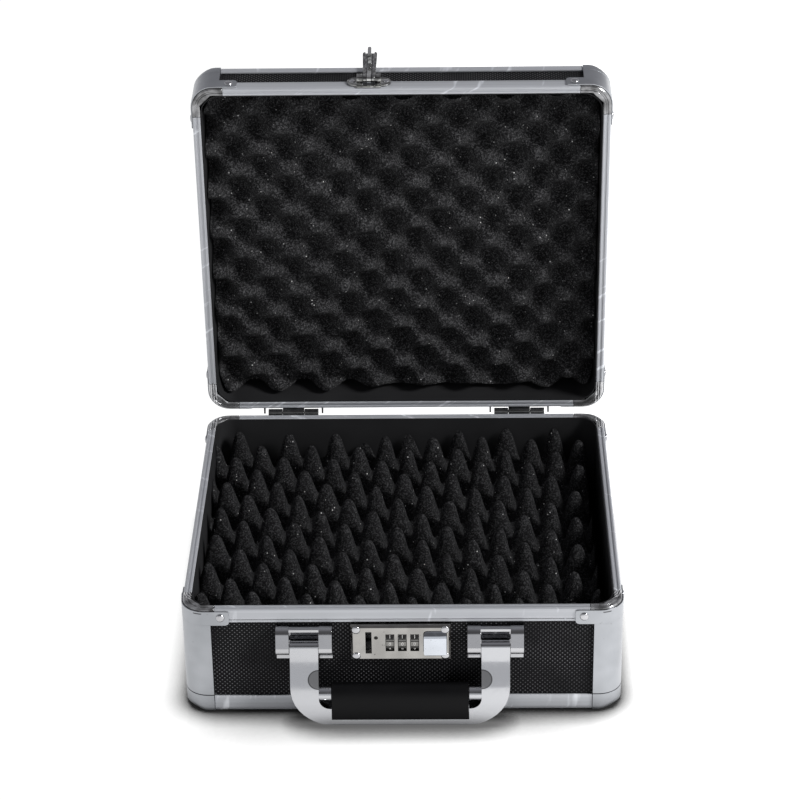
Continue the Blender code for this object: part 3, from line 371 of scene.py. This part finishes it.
def hasp_metal(name):
    """The arm's plating: grey flanges, painted shade in the channel between them, and a painted highlight on
    the tongue down the middle.
    """
    made, tree, shader = start(name)
    place = case_coordinates(tree)
    across = node(tree, "ShaderNodeSeparateXYZ", {0: place}).outputs[0]
    off = maths(tree, "ABSOLUTE", maths(tree, "SUBTRACT", across, HASP_X * MM))
    wave = noise(tree, place, 240.0, 1.0)
    grey = blend(tree, between(tree, wave, 0.38, 0.62), (0.20, 0.20, 0.20), (0.46, 0.46, 0.45))
    # Painted shade darkens the channel between the flanges, and a painted highlight lightens the tongue
    outside_painted_channel_shade = between(tree, off, *CHANNEL_FADE)
    tone = blend(tree, outside_painted_channel_shade, (0.030, 0.030, 0.032), grey)
    tone = blend(tree, between(tree, off, *TONGUE_FADE), (0.66, 0.66, 0.65), tone)
    feed(tree, shader, {"Base Color": tone, "Metallic": 1.0, "Roughness": 0.12,
                        "Normal": bump(tree, wave, 0.4, 0.0008)})
    return made


def panel(name, lid_side=False):
    """Black moulded sheet with a fine staggered grid of raised dots, their glints painted on as lighter grey.
    """
    made, tree, shader = start(name)
    place = case_coordinates(tree, lid_side)
    facing = node(tree, "ShaderNodeTexCoord").outputs["Normal"]
    if lid_side:
        turn = (math.radians(LID_OPEN), 0.0, 0.0)
        facing = node(tree, "ShaderNodeMapping", {"Vector": facing, "Rotation": turn}).outputs[0]
    x, y, z = node(tree, "ShaderNodeSeparateXYZ", {0: place}).outputs
    face_x, face_y, face_z = [maths(tree, "ABSOLUTE", socket)
                              for socket in node(tree, "ShaderNodeSeparateXYZ", {0: facing}).outputs]
    on_side = maths(tree, "GREATER_THAN", face_x, 0.6)
    on_flat = maths(tree, "GREATER_THAN", face_z, 0.6)
    across = node(tree, "ShaderNodeMix", {"Factor": on_side, "A": x, "B": y}).outputs[0]
    upward = node(tree, "ShaderNodeMix", {"Factor": on_flat, "A": z, "B": y}).outputs[0]
    cell_across, cell_up = 3.70, 3.57
    wave_across = maths(tree, "COSINE", maths(tree, "MULTIPLY", across, 2 * math.pi / (cell_across * MM)))
    wave_up = maths(tree, "COSINE", maths(tree, "MULTIPLY", upward, 2 * math.pi / (cell_up * MM)))
    dots = between(tree, maths(tree, "MULTIPLY", wave_across, wave_up), 0.50, 0.92)
    patch = noise(tree, place, 26.0, 3.0)
    strength = maths(tree, "MULTIPLY", dots, between(tree, patch, 0.36, 0.66, 0.25, 1.0))
    grain = noise(tree, place, 700.0, 1.0)
    ground = blend(tree, between(tree, grain, 0.3, 0.7), (0.0030, 0.0030, 0.0036), (0.0070, 0.0070, 0.0078))
    # Painted highlight: the raised dots' glints are painted as light grey on the black ground
    tone = blend(tree, strength, ground, (0.150, 0.150, 0.156))
    feed(tree, shader, {"Base Color": tone, "Roughness": between(tree, dots, 0.0, 1.0, 0.60, 0.40),
                        "Specular IOR Level": 0.08, "Normal": bump(tree, dots, 0.5, 0.0003)})
    return made


def foam_finish(name, ground, pale_cell):
    """Open-cell charcoal foam: matt and pitted, each cell with its own tone, and painted highlights on a few
    cells as glints.
    """
    made, tree, shader = start(name)
    place = case_coordinates(tree)
    cells = node(tree, "ShaderNodeTexVoronoi", {"Vector": place, "Scale": 1150.0})
    luck = node(tree, "ShaderNodeSeparateColor", {0: cells.outputs["Color"]}).outputs[0]
    pale = maths(tree, "POWER", luck, 3.0)
    glint_cells = node(tree, "ShaderNodeTexVoronoi", {"Vector": place, "Scale": 560.0})
    chance, brightness, _ = node(tree, "ShaderNodeSeparateColor", {0: glint_cells.outputs["Color"]}).outputs
    lucky = maths(tree, "GREATER_THAN", chance, 0.975)
    near = between(tree, glint_cells.outputs["Distance"], 0.16, 0.34, 1.0, 0.0)
    painted_glint = maths(tree, "MULTIPLY", maths(tree, "MULTIPLY", lucky, near), brightness)
    tone = blend(tree, pale, ground, pale_cell)
    # Painted highlight: a few cells are painted near white as glints
    tone = blend(tree, painted_glint, tone, (0.85, 0.85, 0.85))
    height = maths(tree, "ADD", cells.outputs["Distance"], luck)
    feed(tree, shader, {"Base Color": tone, "Roughness": 0.95, "Specular IOR Level": 0.08,
                        "Normal": bump(tree, height, 0.5, 0.0006)})
    return made


def satin_black(name, colour, roughness, grain=1200.0, depth=0.00005, shine=0.5):
    """Black plastic or board with a fine grain."""
    made, tree, shader = start(name)
    place = case_coordinates(tree)
    skin = noise(tree, place, grain, 2.0)
    wear = noise(tree, place, 40.0, 3.0)
    tone = blend(tree, wear, tuple(0.8 * part for part in colour), tuple(1.3 * part for part in colour))
    feed(tree, shader, {"Base Color": tone, "Specular IOR Level": shine,
                        "Roughness": between(tree, wear, 0.3, 0.7, roughness, roughness + 0.12),
                        "Normal": bump(tree, skin, 0.4, depth)})
    return made


def floor_finish():
    """A white sweep that glows, with a painted pool of light growing to the right and painted shadow where
    something stands near over it.
    """
    made, tree, shader = start("floor_white")
    place = case_coordinates(tree)
    across, away, _ = node(tree, "ShaderNodeSeparateXYZ", {0: place}).outputs
    tight = node(tree, "ShaderNodeAmbientOcclusion", {"Distance": FLOOR_TIGHT_REACH}, samples=8).outputs["AO"]
    wide = node(tree, "ShaderNodeAmbientOcclusion", {"Distance": FLOOR_WIDE_REACH}, samples=8).outputs["AO"]
    # Painted shadow: the floor's glow is dimmed by ambient occlusion, tightly under the case's edges and the
    # handle, and more widely in front of the case, kept off its sides
    painted_contact_shadow = between(tree, tight, 0.52, 0.98, 0.012, 1.0)
    front = (CENTRE_Y - HALF_DEPTH) * MM
    painted_contact_shadow = maths(tree, "MAXIMUM", painted_contact_shadow, between(tree, away, front - 0.007, front - 0.015, 0.0, 0.36))
    beside = between(tree, maths(tree, "ABSOLUTE", across), 0.110, 0.165)
    painted_wide_shadow = maths(tree, "MAXIMUM", between(tree, wide, 0.45, 0.90, 0.30, 1.0), beside)
    # Painted light: the floor's glow grows towards the right
    glow_and_painted_shade = maths(tree, "MULTIPLY", maths(tree, "MULTIPLY", painted_contact_shadow, painted_wide_shadow),
                 between(tree, across, -0.20, 0.20, 1.02, 1.50))
    feed(tree, shader, {"Base Color": (0.02, 0.02, 0.02), "Roughness": 1.0, "Specular IOR Level": 0.0,
                        "Emission Color": (1.0, 1.0, 1.0), "Emission Strength": glow_and_painted_shade})
    return made


def make_finishes():
    """Every finish by name."""
    return {
        "aluminium_x": brushed("aluminium_x", 0),
        "aluminium_y": brushed("aluminium_y", 1),
        "lid_aluminium_x": brushed("lid_aluminium_x", 0, lid_side=True),
        "lid_aluminium_y": brushed("lid_aluminium_y", 1, lid_side=True),
        "cover": cover_metal("cover_aluminium", "base"),
        "lid_cover": cover_metal("lid_cover_aluminium", "lid"),
        "insert": ridged_chrome("insert_chrome"),
        "lid_insert": ridged_chrome("lid_insert_chrome", lid_side=True),
        "chrome": bright_metal("chrome", (0.48, 0.48, 0.495), 0.10, ripple=0.06, blotch=0.06, cell=45.0),
        "hasp": bright_metal("hasp_chrome", (0.42, 0.42, 0.41), 0.05, ripple=0.9, blotch=0.6, cell=240.0),
        "plate": bright_metal("plate_nickel", (0.37, 0.36, 0.345), 0.12, ripple=0.40, blotch=0.18, cell=75.0),
        "bow": bow_metal("bow_chrome", (0.50, 0.505, 0.525)),
        "hasp_arm": hasp_metal("hasp_arm_chrome"),
        "button": bright_metal("button_chrome", (0.60, 0.63, 0.68), 0.07, ripple=0.08, blotch=0.08,
                               cell=60.0),
        "digit": satin_black("dial_digit", (0.55, 0.54, 0.52), 0.40),
        "steel": bright_metal("steel", (0.30, 0.30, 0.30), 0.22),
        "hinge": bright_metal("hinge_steel", (0.15, 0.15, 0.148), 0.20, ripple=0.4, blotch=0.3),
        "dial": bright_metal("dial_metal", (0.22, 0.215, 0.205), 0.14, ripple=0.3, blotch=0.2),
        "panel": panel("black_panel"),
        "lid_panel": panel("lid_black_panel", lid_side=True),
        "foam": foam_finish("black_foam", (0.0070, 0.0070, 0.0075), (0.050, 0.050, 0.052)),
        "lid_foam": foam_finish("lid_black_foam", (0.0090, 0.0090, 0.0095), (0.078, 0.078, 0.081)),
        "grip": satin_black("black_grip", (0.003, 0.003, 0.0034), 0.34, shine=0.10),
        "liner": satin_black("black_liner", (0.013, 0.013, 0.014), 0.65, shine=0.2),
    }


# ---------------------------------------------------------------- pieces

def piece(name, points, faces, place, body, finish, smooth_deg=35.0):
    """A closed mesh in case millimetres, set in place on a body."""
    mesh = bpy.data.meshes.new(name)
    mesh.from_pydata([place @ Vector(point) for point in points], [], faces)
    work = bmesh.new()
    work.from_mesh(mesh)
    bmesh.ops.recalc_face_normals(work, faces=work.faces)
    work.to_mesh(mesh)
    work.free()
    mesh.shade_smooth()
    mesh.set_sharp_from_angle(angle=math.radians(smooth_deg))
    made = bpy.data.objects.new(name, mesh)
    bpy.context.scene.collection.objects.link(made)
    made.data.materials.append(finish)
    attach(made, body)
    return made


def ring_faces(count, rings, close_start=True, close_end=True):
    """Faces through rings of points, with flat caps on the ends."""
    faces = []
    for row in range(rings - 1):
        for column in range(count):
            after = (column + 1) % count
            first = row * count
            faces.append((first + column, first + after, first + count + after, first + count + column))
    if close_start:
        faces.append(tuple(range(count)))
    if close_end:
        faces.append(tuple(range((rings - 1) * count, rings * count)))
    return faces


def tray_z(tray, depth):
    """The closed case's Z at a depth inside a tray, from its rim."""
    return BASE_HEIGHT - depth if tray == "base" else LID_RIM_Z + depth


def rounded_loop(inset_left, inset_right, inset_front, inset_back, radius, z, steps=10):
    """A rounded rectangle in the tray's plan."""
    low_x = -HALF_WIDTH + inset_left + radius
    high_x = HALF_WIDTH - inset_right - radius
    low_y = -HALF_DEPTH + inset_front + radius
    high_y = HALF_DEPTH - inset_back - radius
    loop = []
    centres = ((high_x, high_y), (low_x, high_y), (low_x, low_y), (high_x, low_y))
    for corner, (x, y) in enumerate(centres):
        start_deg = 90 * corner
        for step in range(steps + 1):
            angle = math.radians(start_deg + 90.0 * step / steps)
            loop.append((x + radius * math.cos(angle), y + radius * math.sin(angle), z))
    return loop


# ---------------------------------------------------------------- foam

class Convolution:
    """An egg-crate surface of staggered peaks.

    A high bluntness rounds the tips, and a high steepness makes the flanks fall quickly under them.
    """

    def __init__(self, pitch, turn_deg, phase, tip_depth, height, bluntness, steepness):
        self.pitch = pitch
        self.turn = math.radians(turn_deg)
        self.phase = phase
        self.tip_depth = tip_depth
        self.height = height
        self.bluntness = bluntness
        self.steepness = steepness

    def depth(self, x, y):
        """How deep the surface lies under the rim at places in the plan."""
        sway_x = x + 1.1 * np.sin(0.041 * y + 0.7) + 0.8 * np.sin(0.093 * x + 0.057 * y)
        sway_y = y + 1.0 * np.sin(0.037 * x + 1.9) + 0.8 * np.sin(0.083 * x - 0.071 * y + 0.4)
        across = sway_x * math.cos(self.turn) + sway_y * math.sin(self.turn)
        along = sway_y * math.cos(self.turn) - sway_x * math.sin(self.turn)
        first = across / self.pitch[0] - along / self.pitch[1] - self.phase[0]
        second = across / self.pitch[0] + along / self.pitch[1] - self.phase[1]
        crest = (2.0 + np.cos(2 * np.pi * first) + np.cos(2 * np.pi * second)) / 4.0
        uneven = 0.9 * np.sin(0.061 * x - 0.043 * y) + 0.5 * np.sin(0.21 * x + 0.17 * y + 1.1)
        below = np.clip(1.0 - crest, 0.0, 1.0) ** self.bluntness
        fall = (1.0 - np.exp(-self.steepness * below)) / (1.0 - math.exp(-self.steepness))
        return self.tip_depth + 0.8 + self.height * fall + 0.6 * uneven


def convoluted_foam(name, tray, place, body, node_name, insets, radius, surface, foot_depth, finish):
    """A block of egg-crate foam: a fine height grid on top, cut sides and a flat foot."""
    left, right, front, back = insets
    low_x, high_x = -HALF_WIDTH + left, HALF_WIDTH - right
    low_y, high_y = -HALF_DEPTH + front, HALF_DEPTH - back
    spacing = 1.5
    columns = round((high_x - low_x) / spacing)
    rows = round((high_y - low_y) / spacing)
    line_x = np.linspace(low_x, high_x, columns + 1)
    line_y = np.linspace(low_y, high_y, rows + 1)
    grid_x, grid_y = np.meshgrid(line_x, line_y)
    mid_x, mid_y = (low_x + high_x) / 2, (low_y + high_y) / 2
    half_x, half_y = (high_x - low_x) / 2, (high_y - low_y) / 2
    out_x = np.clip((np.abs(grid_x - mid_x) - (half_x - radius)) / radius, 0.0, 1.0)
    out_y = np.clip((np.abs(grid_y - mid_y) - (half_y - radius)) / radius, 0.0, 1.0)
    in_corner = (out_x > 0.0) & (out_y > 0.0)
    round_x = np.where(in_corner, out_x * np.sqrt(1.0 - out_y ** 2 / 2), out_x)
    round_y = np.where(in_corner, out_y * np.sqrt(1.0 - out_x ** 2 / 2), out_y)
    plan_x = grid_x + np.sign(grid_x - mid_x) * (round_x - out_x) * radius
    plan_y = grid_y + np.sign(grid_y - mid_y) * (round_y - out_y) * radius
    depth = np.minimum(surface.depth(plan_x, plan_y), foot_depth - 4.0)

    count_x, count_y = columns + 1, rows + 1
    points = [(x, y, tray_z(tray, d)) for x, y, d in zip(plan_x.ravel(), plan_y.ravel(), depth.ravel())]
    faces = []
    for row in range(rows):
        for column in range(columns):
            first = row * count_x + column
            faces.append((first, first + 1, first + count_x + 1, first + count_x))
    edge = list(range(count_x))
    edge += [row * count_x + columns for row in range(1, count_y)]
    edge += [rows * count_x + column for column in range(columns - 1, -1, -1)]
    edge += [row * count_x for row in range(rows - 1, 0, -1)]
    previous = edge
    side_steps = 6
    for step in range(1, side_steps + 1):
        share = step / side_steps
        ring = []
        for index in edge:
            x, y, top_z = points[index]
            z = top_z + (tray_z(tray, foot_depth) - top_z) * share
            ring.append(len(points))
            points.append((x, y, z))
        for column in range(len(edge)):
            after = (column + 1) % len(edge)
            faces.append((previous[column], previous[after], ring[after], ring[column]))
        previous = ring
    faces.append(tuple(previous))
    made = piece(name, points, faces, place, body, finish, smooth_deg=60.0)
    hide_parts(node_name)


def build_foams(finishes):
    """The two egg-crate foams and the flat pad under the lower one."""
    foam = finishes["foam"]
    base_surface = Convolution(pitch=(40.4, 40.8), turn_deg=-3.25, phase=(0.363, 0.387), tip_depth=6.6,
                               height=40.0, bluntness=1.5, steepness=2.8)
    convoluted_foam("base_foam", "base", BASE, "base", "base_foam_convoluted", insets=(7.6, 15.5, 15.0, 11.4),
                    radius=13.0, surface=base_surface, foot_depth=65.5, finish=foam)
    lid_surface = Convolution(pitch=(40.6, 37.6), turn_deg=-2.75, phase=(0.740, 0.664), tip_depth=8.4,
                              height=22.0, bluntness=1.3, steepness=0.6)
    convoluted_foam("lid_foam", "lid", LID, "lid", "lid_foam_convoluted", insets=(8.0, 8.0, 15.0, 11.6),
                    radius=13.0, surface=lid_surface, foot_depth=35.3, finish=finishes["lid_foam"])

    clearance = 0.2
    low = side_of("base_foam_pad", 0, 2) + clearance
    high = side_of("base_foam_pad", 1, 2) - clearance
    rounding = 1.6
    bulge = 0.3
    profile = ((rounding, low), (bulge, low + rounding), (0.0, (low + high) / 2), (bulge, high - rounding),
               (rounding, high))
    rings = []
    for inset, z in profile:
        rings.append(rounded_loop(7.8 + inset, 15.6 + inset, 15.0 + inset, 11.6 + inset, 12.0, z, 6))
    points = [point for ring in rings for point in ring]
    pad = piece("base_pad", points, ring_faces(len(rings[0]), len(rings)), BASE, "base", foam)
    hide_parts("base_foam_pad")


# ---------------------------------------------------------------- liners

def build_liner(name, tray, place, body, floor_depth, finish):
    """The smooth black board that lines a tray's walls, up to just under the rim's land."""
    thickness = 0.7
    gap = 0.15
    outer = RIM_WIDTH + gap
    inner = outer + thickness
    radius = 16.0
    shelf = 0.8
    rings = [
        rounded_loop(outer, outer, outer, outer, radius, tray_z(tray, shelf)),
        rounded_loop(inner, inner, inner, inner, radius - thickness, tray_z(tray, shelf)),
        rounded_loop(inner, inner, inner, inner, radius - thickness, tray_z(tray, floor_depth)),
        rounded_loop(outer, outer, outer, outer, radius, tray_z(tray, floor_depth)),
    ]
    count = len(rings[0])
    points = [point for ring in rings for point in ring]
    faces = ring_faces(count, len(rings), close_start=False, close_end=False)
    last = (len(rings) - 1) * count
    for column in range(count):
        after = (column + 1) % count
        faces.append((last + column, last + after, after, column))
    made = piece(name, points, faces, place, body, finish)
    return made


def open_liner_for_lock(liner):
    """Cuts the lower liner where the lock's housing comes through the front wall."""
    low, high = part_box("lock_housing")
    clearance = 0.0006
    reach_through = 0.02
    centre = (low + high) / 2
    size = high - low + Vector((clearance, reach_through, clearance)) * 2
    mesh = bpy.data.meshes.new("housing_cutter")
    work = bmesh.new()
    bmesh.ops.create_cube(work, size=1.0)
    bmesh.ops.scale(work, vec=size, verts=work.verts)
    bmesh.ops.translate(work, vec=centre, verts=work.verts)
    work.to_mesh(mesh)
    work.free()
    cutter = bpy.data.objects.new("housing_cutter", mesh)
    bpy.context.scene.collection.objects.link(cutter)
    modifier = liner.modifiers.new("cut", "BOOLEAN")
    modifier.operation = "DIFFERENCE"
    modifier.object = cutter
    bpy.context.view_layer.update()
    graph = bpy.context.evaluated_depsgraph_get()
    result = bpy.data.meshes.new_from_object(liner.evaluated_get(graph))
    liner.modifiers.clear()
    liner.data = result
    bpy.data.objects.remove(cutter)


# ---------------------------------------------------------------- rivets

def rivet(name, centre, facing, dome, place, body, finish):
    """A domed rivet head on a face: a short skirt and a crown."""
    radius, height = dome
    facing = Vector(facing)
    across = facing.orthogonal().normalized()
    upward = facing.cross(across)
    steps = 24
    rings = []
    profile = [(radius, -0.3), (radius, 0.15 * height)]
    crown_steps = 5
    for step in range(1, crown_steps + 1):
        angle = math.radians(90.0 * step / (crown_steps + 0.4))
        profile.append((radius * math.cos(angle), height * (0.15 + 0.85 * math.sin(angle))))
    for reach, rise in profile:
        ring = []
        for step in range(steps):
            angle = 2 * math.pi * step / steps
            offset = across * (reach * math.cos(angle)) + upward * (reach * math.sin(angle))
            ring.append(Vector(centre) + offset + facing * rise)
        rings.append(ring)
    points = [point for ring in rings for point in ring]
    made = piece(name, points, ring_faces(steps, len(rings)), place, body, finish, smooth_deg=50.0)


def build_rivets(finishes):
    """The rivets of the corner covers, the lock plate, the hasp bracket and the hinge leaves."""
    chrome = finishes["chrome"]
    for tray, place, depth in (("base", BASE, 7.0), ("lid", LID, 8.0)):
        z = tray_z(tray, depth)
        for sign_x in (-1, 1):
            for sign_y in (-1, 1):
                label = f"{tray}_{'front' if sign_y < 0 else 'back'}_{'left' if sign_x < 0 else 'right'}"
                end = (sign_x * (HALF_WIDTH - EAR_RIVET_FROM_SIDE), sign_y * (HALF_DEPTH + EAR_PROUD), z)
                rivet(f"rivet_{label}_end", end, (0, sign_y, 0), EAR_RIVET, place, tray, chrome)
                side = (sign_x * (HALF_WIDTH + EAR_PROUD), sign_y * (HALF_DEPTH - EAR_RIVET_FROM_SIDE), z)
                rivet(f"rivet_{label}_side", side, (sign_x, 0, 0), EAR_RIVET, place, tray, chrome)
    for sign_x, x_label in ((-1, "left"), (1, "right")):
        for sign_z, z_label in ((-1, "low"), (1, "high")):
            spot_z = LOCK_Z - 0.2 + sign_z * LOCK_RIVET_Z
            spot = (HARDWARE_X + sign_x * LOCK_RIVET_X, -HALF_DEPTH - LOCK_PROUD, spot_z)
            rivet(f"rivet_lock_{z_label}_{x_label}", spot, (0, -1, 0), LOCK_RIVET, BASE, "base", chrome)
        spot = (HASP_X + sign_x * HASP_RIVET_X, -HALF_DEPTH - LEAF_PROUD, LID_RIM_Z + 8.9)
        rivet(f"rivet_hasp_{x_label}", spot, (0, -1, 0), HASP_RIVET, LID, "lid", chrome)
    for sign, label in ((-1, "left"), (1, "right")):
        for index, offset in enumerate(HINGE_RIVET_STEPS, 1):
            lower = (sign * HINGE_X + offset, HALF_DEPTH + LEAF_PROUD, BASE_HEIGHT - 15.0)
            rivet(f"rivet_hinge_base_{label}_{index}", lower, (0, 1, 0), HINGE_RIVET, BASE, "base", chrome)
            upper = (sign * HINGE_X + offset, HALF_DEPTH + LEAF_PROUD, LID_RIM_Z + 16.0)
            rivet(f"rivet_hinge_lid_{label}_{index}", upper, (0, 1, 0), HINGE_RIVET, LID, "lid", chrome)


# ---------------------------------------------------------------- dial digits

def digit_outline(figure):
    """A figure as a flat mesh, centred on the origin, in millimetres."""
    curve = bpy.data.curves.new("digit", "FONT")
    curve.body = str(figure)
    curve.size = DIGIT_HEIGHT * FONT_SIZE_PER_HEIGHT
    curve.extrude = DIGIT_HALF_DEPTH
    curve.resolution_u = 2
    curve.align_x = "CENTER"
    curve.align_y = "CENTER"
    holder = bpy.data.objects.new("digit", curve)
    bpy.context.scene.collection.objects.link(holder)
    bpy.context.view_layer.update()
    mesh = bpy.data.meshes.new_from_object(holder.evaluated_get(bpy.context.evaluated_depsgraph_get()))
    bpy.data.objects.remove(holder)
    points = [Vector(vertex.co) for vertex in mesh.vertices]
    faces = [tuple(face.vertices) for face in mesh.polygons]
    return points, faces


def build_digits(finishes):
    """Ten figures round each dial, the one that shows set by DIAL_DIGITS."""
    shapes = [digit_outline(figure) for figure in range(FIGURES)]
    for label, showing in DIAL_DIGITS.items():
        low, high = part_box(f"lock_dial_{label}")
        radius = (high.z - low.z) / 2 / MM
        middle = (low + high) / 2 / MM
        for figure, (points, faces) in enumerate(shapes):
            turn = Matrix.Rotation(math.radians(360.0 / FIGURES * (showing - figure)), 4, "X")
            upright = Matrix.Rotation(math.radians(90.0), 4, "X")
            out = Matrix.Translation((0.0, 0.0, radius + DIGIT_PROUD - DIGIT_HALF_DEPTH))
            place = Matrix.Scale(MM, 4) @ Matrix.Translation(middle) @ turn @ upright @ out
            made = piece(f"digit_{label}_{figure}", points, faces, place, f"lock_dial_{label}",
                         finishes["digit"])


# ---------------------------------------------------------------- CAD nodes

def finish_for(name, finishes):
    """The finish of a CAD node, by its name."""
    lid_side = "lid_" if name.startswith("lid_") else ""
    if name.endswith("_shell"):
        return finishes[lid_side + "panel"]
    if "_rim_corner_" in name:
        return finishes[lid_side + "insert"]
    if "_corner_" in name:
        return finishes[lid_side + "cover"]
    if "_rim_" in name or "_edge_" in name:
        run = "x" if name.endswith(("front", "back")) else "y"
        return finishes[f"{lid_side}aluminium_{run}"]
    if "foam" in name:
        return finishes[lid_side + "foam"]
    if name == "handle_grip":
        return finishes["grip"]
    if name.startswith("lock_dial_") and name != "lock_dial_axle":
        return finishes["dial"]
    if name.startswith("hinge_"):
        return finishes["hinge"]
    if name.endswith("pin") or "_pin_" in name or name in ("lock_housing", "lock_dial_axle", "lock_bolt"):
        return finishes["steel"]
    if name in ("handle_bow", "hasp_arm", "lock_button"):
        return finishes[name.replace("lock_", "").replace("handle_", "")]
    if name.startswith("hasp_"):
        return finishes["hasp"]
    if name == "lock_plate":
        return finishes["plate"]
    return finishes["chrome"]


def dress_nodes(finishes):
    """Gives every CAD node its finish, welded faces and small rounded edges."""
    for name, made in frame["nodes"].items():
        made.data.materials.clear()
        made.data.materials.append(finish_for(name, finishes))
        # Without the CAD's own normals, shading follows the rounded edges
        if "custom_normal" in made.data.attributes:
            made.data.attributes.remove(made.data.attributes["custom_normal"])
        made.data.shade_smooth()
        weld = made.modifiers.new("weld", "WELD")
        weld.merge_threshold = WELD_REACH
        bevel = made.modifiers.new("bevel", "BEVEL")
        bevel.width = EDGE_WIDTH
        bevel.segments = 2
        bevel.limit_method = "ANGLE"
        bevel.angle_limit = math.radians(EDGE_ANGLE)
        bevel.harden_normals = True


# ---------------------------------------------------------------- studio

def add_camera():
    """The camera at the case's front, looking down on it."""
    pitch, yaw, roll = [math.radians(value) for value in (CAMERA_PITCH, CAMERA_YAW, CAMERA_ROLL)]
    forward = Vector((math.sin(yaw) * math.cos(pitch), math.cos(yaw) * math.cos(pitch), -math.sin(pitch)))
    level = Vector((math.cos(yaw), -math.sin(yaw), 0.0))
    upright = level.cross(forward)
    right = level * math.cos(roll) + upright * math.sin(roll)
    top = upright * math.cos(roll) - level * math.sin(roll)
    data = bpy.data.cameras.new("camera")
    data.sensor_width = 36.0
    data.lens = CAMERA_LENS
    camera = bpy.data.objects.new("camera", data)
    turn = Matrix((right, top, -forward)).transposed().to_4x4()
    camera.matrix_world = Matrix.Translation(CAMERA_PLACE) @ turn
    bpy.context.scene.collection.objects.link(camera)
    bpy.context.scene.camera = camera


def add_sun(name, strength, angle_deg, direction):
    """A soft distant light that shines along a direction."""
    data = bpy.data.lights.new(name, "SUN")
    data.energy = strength
    data.angle = math.radians(angle_deg)
    light = bpy.data.objects.new(name, data)
    light.rotation_mode = "QUATERNION"
    light.rotation_quaternion = Vector(direction).to_track_quat("-Z", "Y")
    bpy.context.scene.collection.objects.link(light)


def add_studio():
    """A white floor, a key from the right, and a room that is dark above and behind the camera."""
    mesh = bpy.data.meshes.new("floor")
    reach = 8.0
    drop = 0.0002
    mesh.from_pydata([(-reach, -reach, 0), (reach, -reach, 0), (reach, reach, 0), (-reach, reach, 0)], [],
                     [(0, 1, 2, 3)])
    floor = bpy.data.objects.new("floor", mesh)
    floor.location.z = -drop
    floor.data.materials.append(floor_finish())
    bpy.context.scene.collection.objects.link(floor)

    add_sun("key", 3.0, 16.0, (-0.80, 0.35, -0.65))
    world = bpy.data.worlds.new("room")
    bpy.context.scene.world = world
    world.use_nodes = True
    tree = world.node_tree
    direction = node(tree, "ShaderNodeTexCoord").outputs["Generated"]
    across, away, height = node(tree, "ShaderNodeSeparateXYZ", {0: direction}).outputs
    low = between(tree, height, 0.0, 0.6)
    tone = blend(tree, low, (0.58, 0.58, 0.60), (0.28, 0.28, 0.30))
    to_camera = between(tree, away, -0.15, -0.75)
    in_front = blend(tree, between(tree, height, 0.28, 0.45), (0.72, 0.73, 0.75), (0.12, 0.12, 0.125))
    tone = blend(tree, to_camera, tone, in_front)
    at_left = between(tree, across, -0.62, -0.80)
    tone = blend(tree, at_left, tone, (0.58, 0.59, 0.61))
    at_right = between(tree, across, 0.62, 0.80)
    tone = blend(tree, at_right, tone, (0.98, 0.99, 1.0))
    tree.links.new(tone, tree.nodes["Background"].inputs["Color"])
    tree.nodes["Background"].inputs["Strength"].default_value = 1.0
    bpy.context.scene.view_settings.view_transform = "Standard"


def main():
    """Dresses the frame, builds what it lacks and lights it."""
    add_camera()
    add_studio()
    finishes = make_finishes()
    dress_nodes(finishes)
    build_foams(finishes)
    lower = build_liner("base_liner", "base", BASE, "base", floor_depth=86.0, finish=finishes["liner"])
    open_liner_for_lock(lower)
    build_liner("lid_liner", "lid", LID, "lid", floor_depth=35.4, finish=finishes["liner"])
    build_rivets(finishes)
    build_digits(finishes)


main()
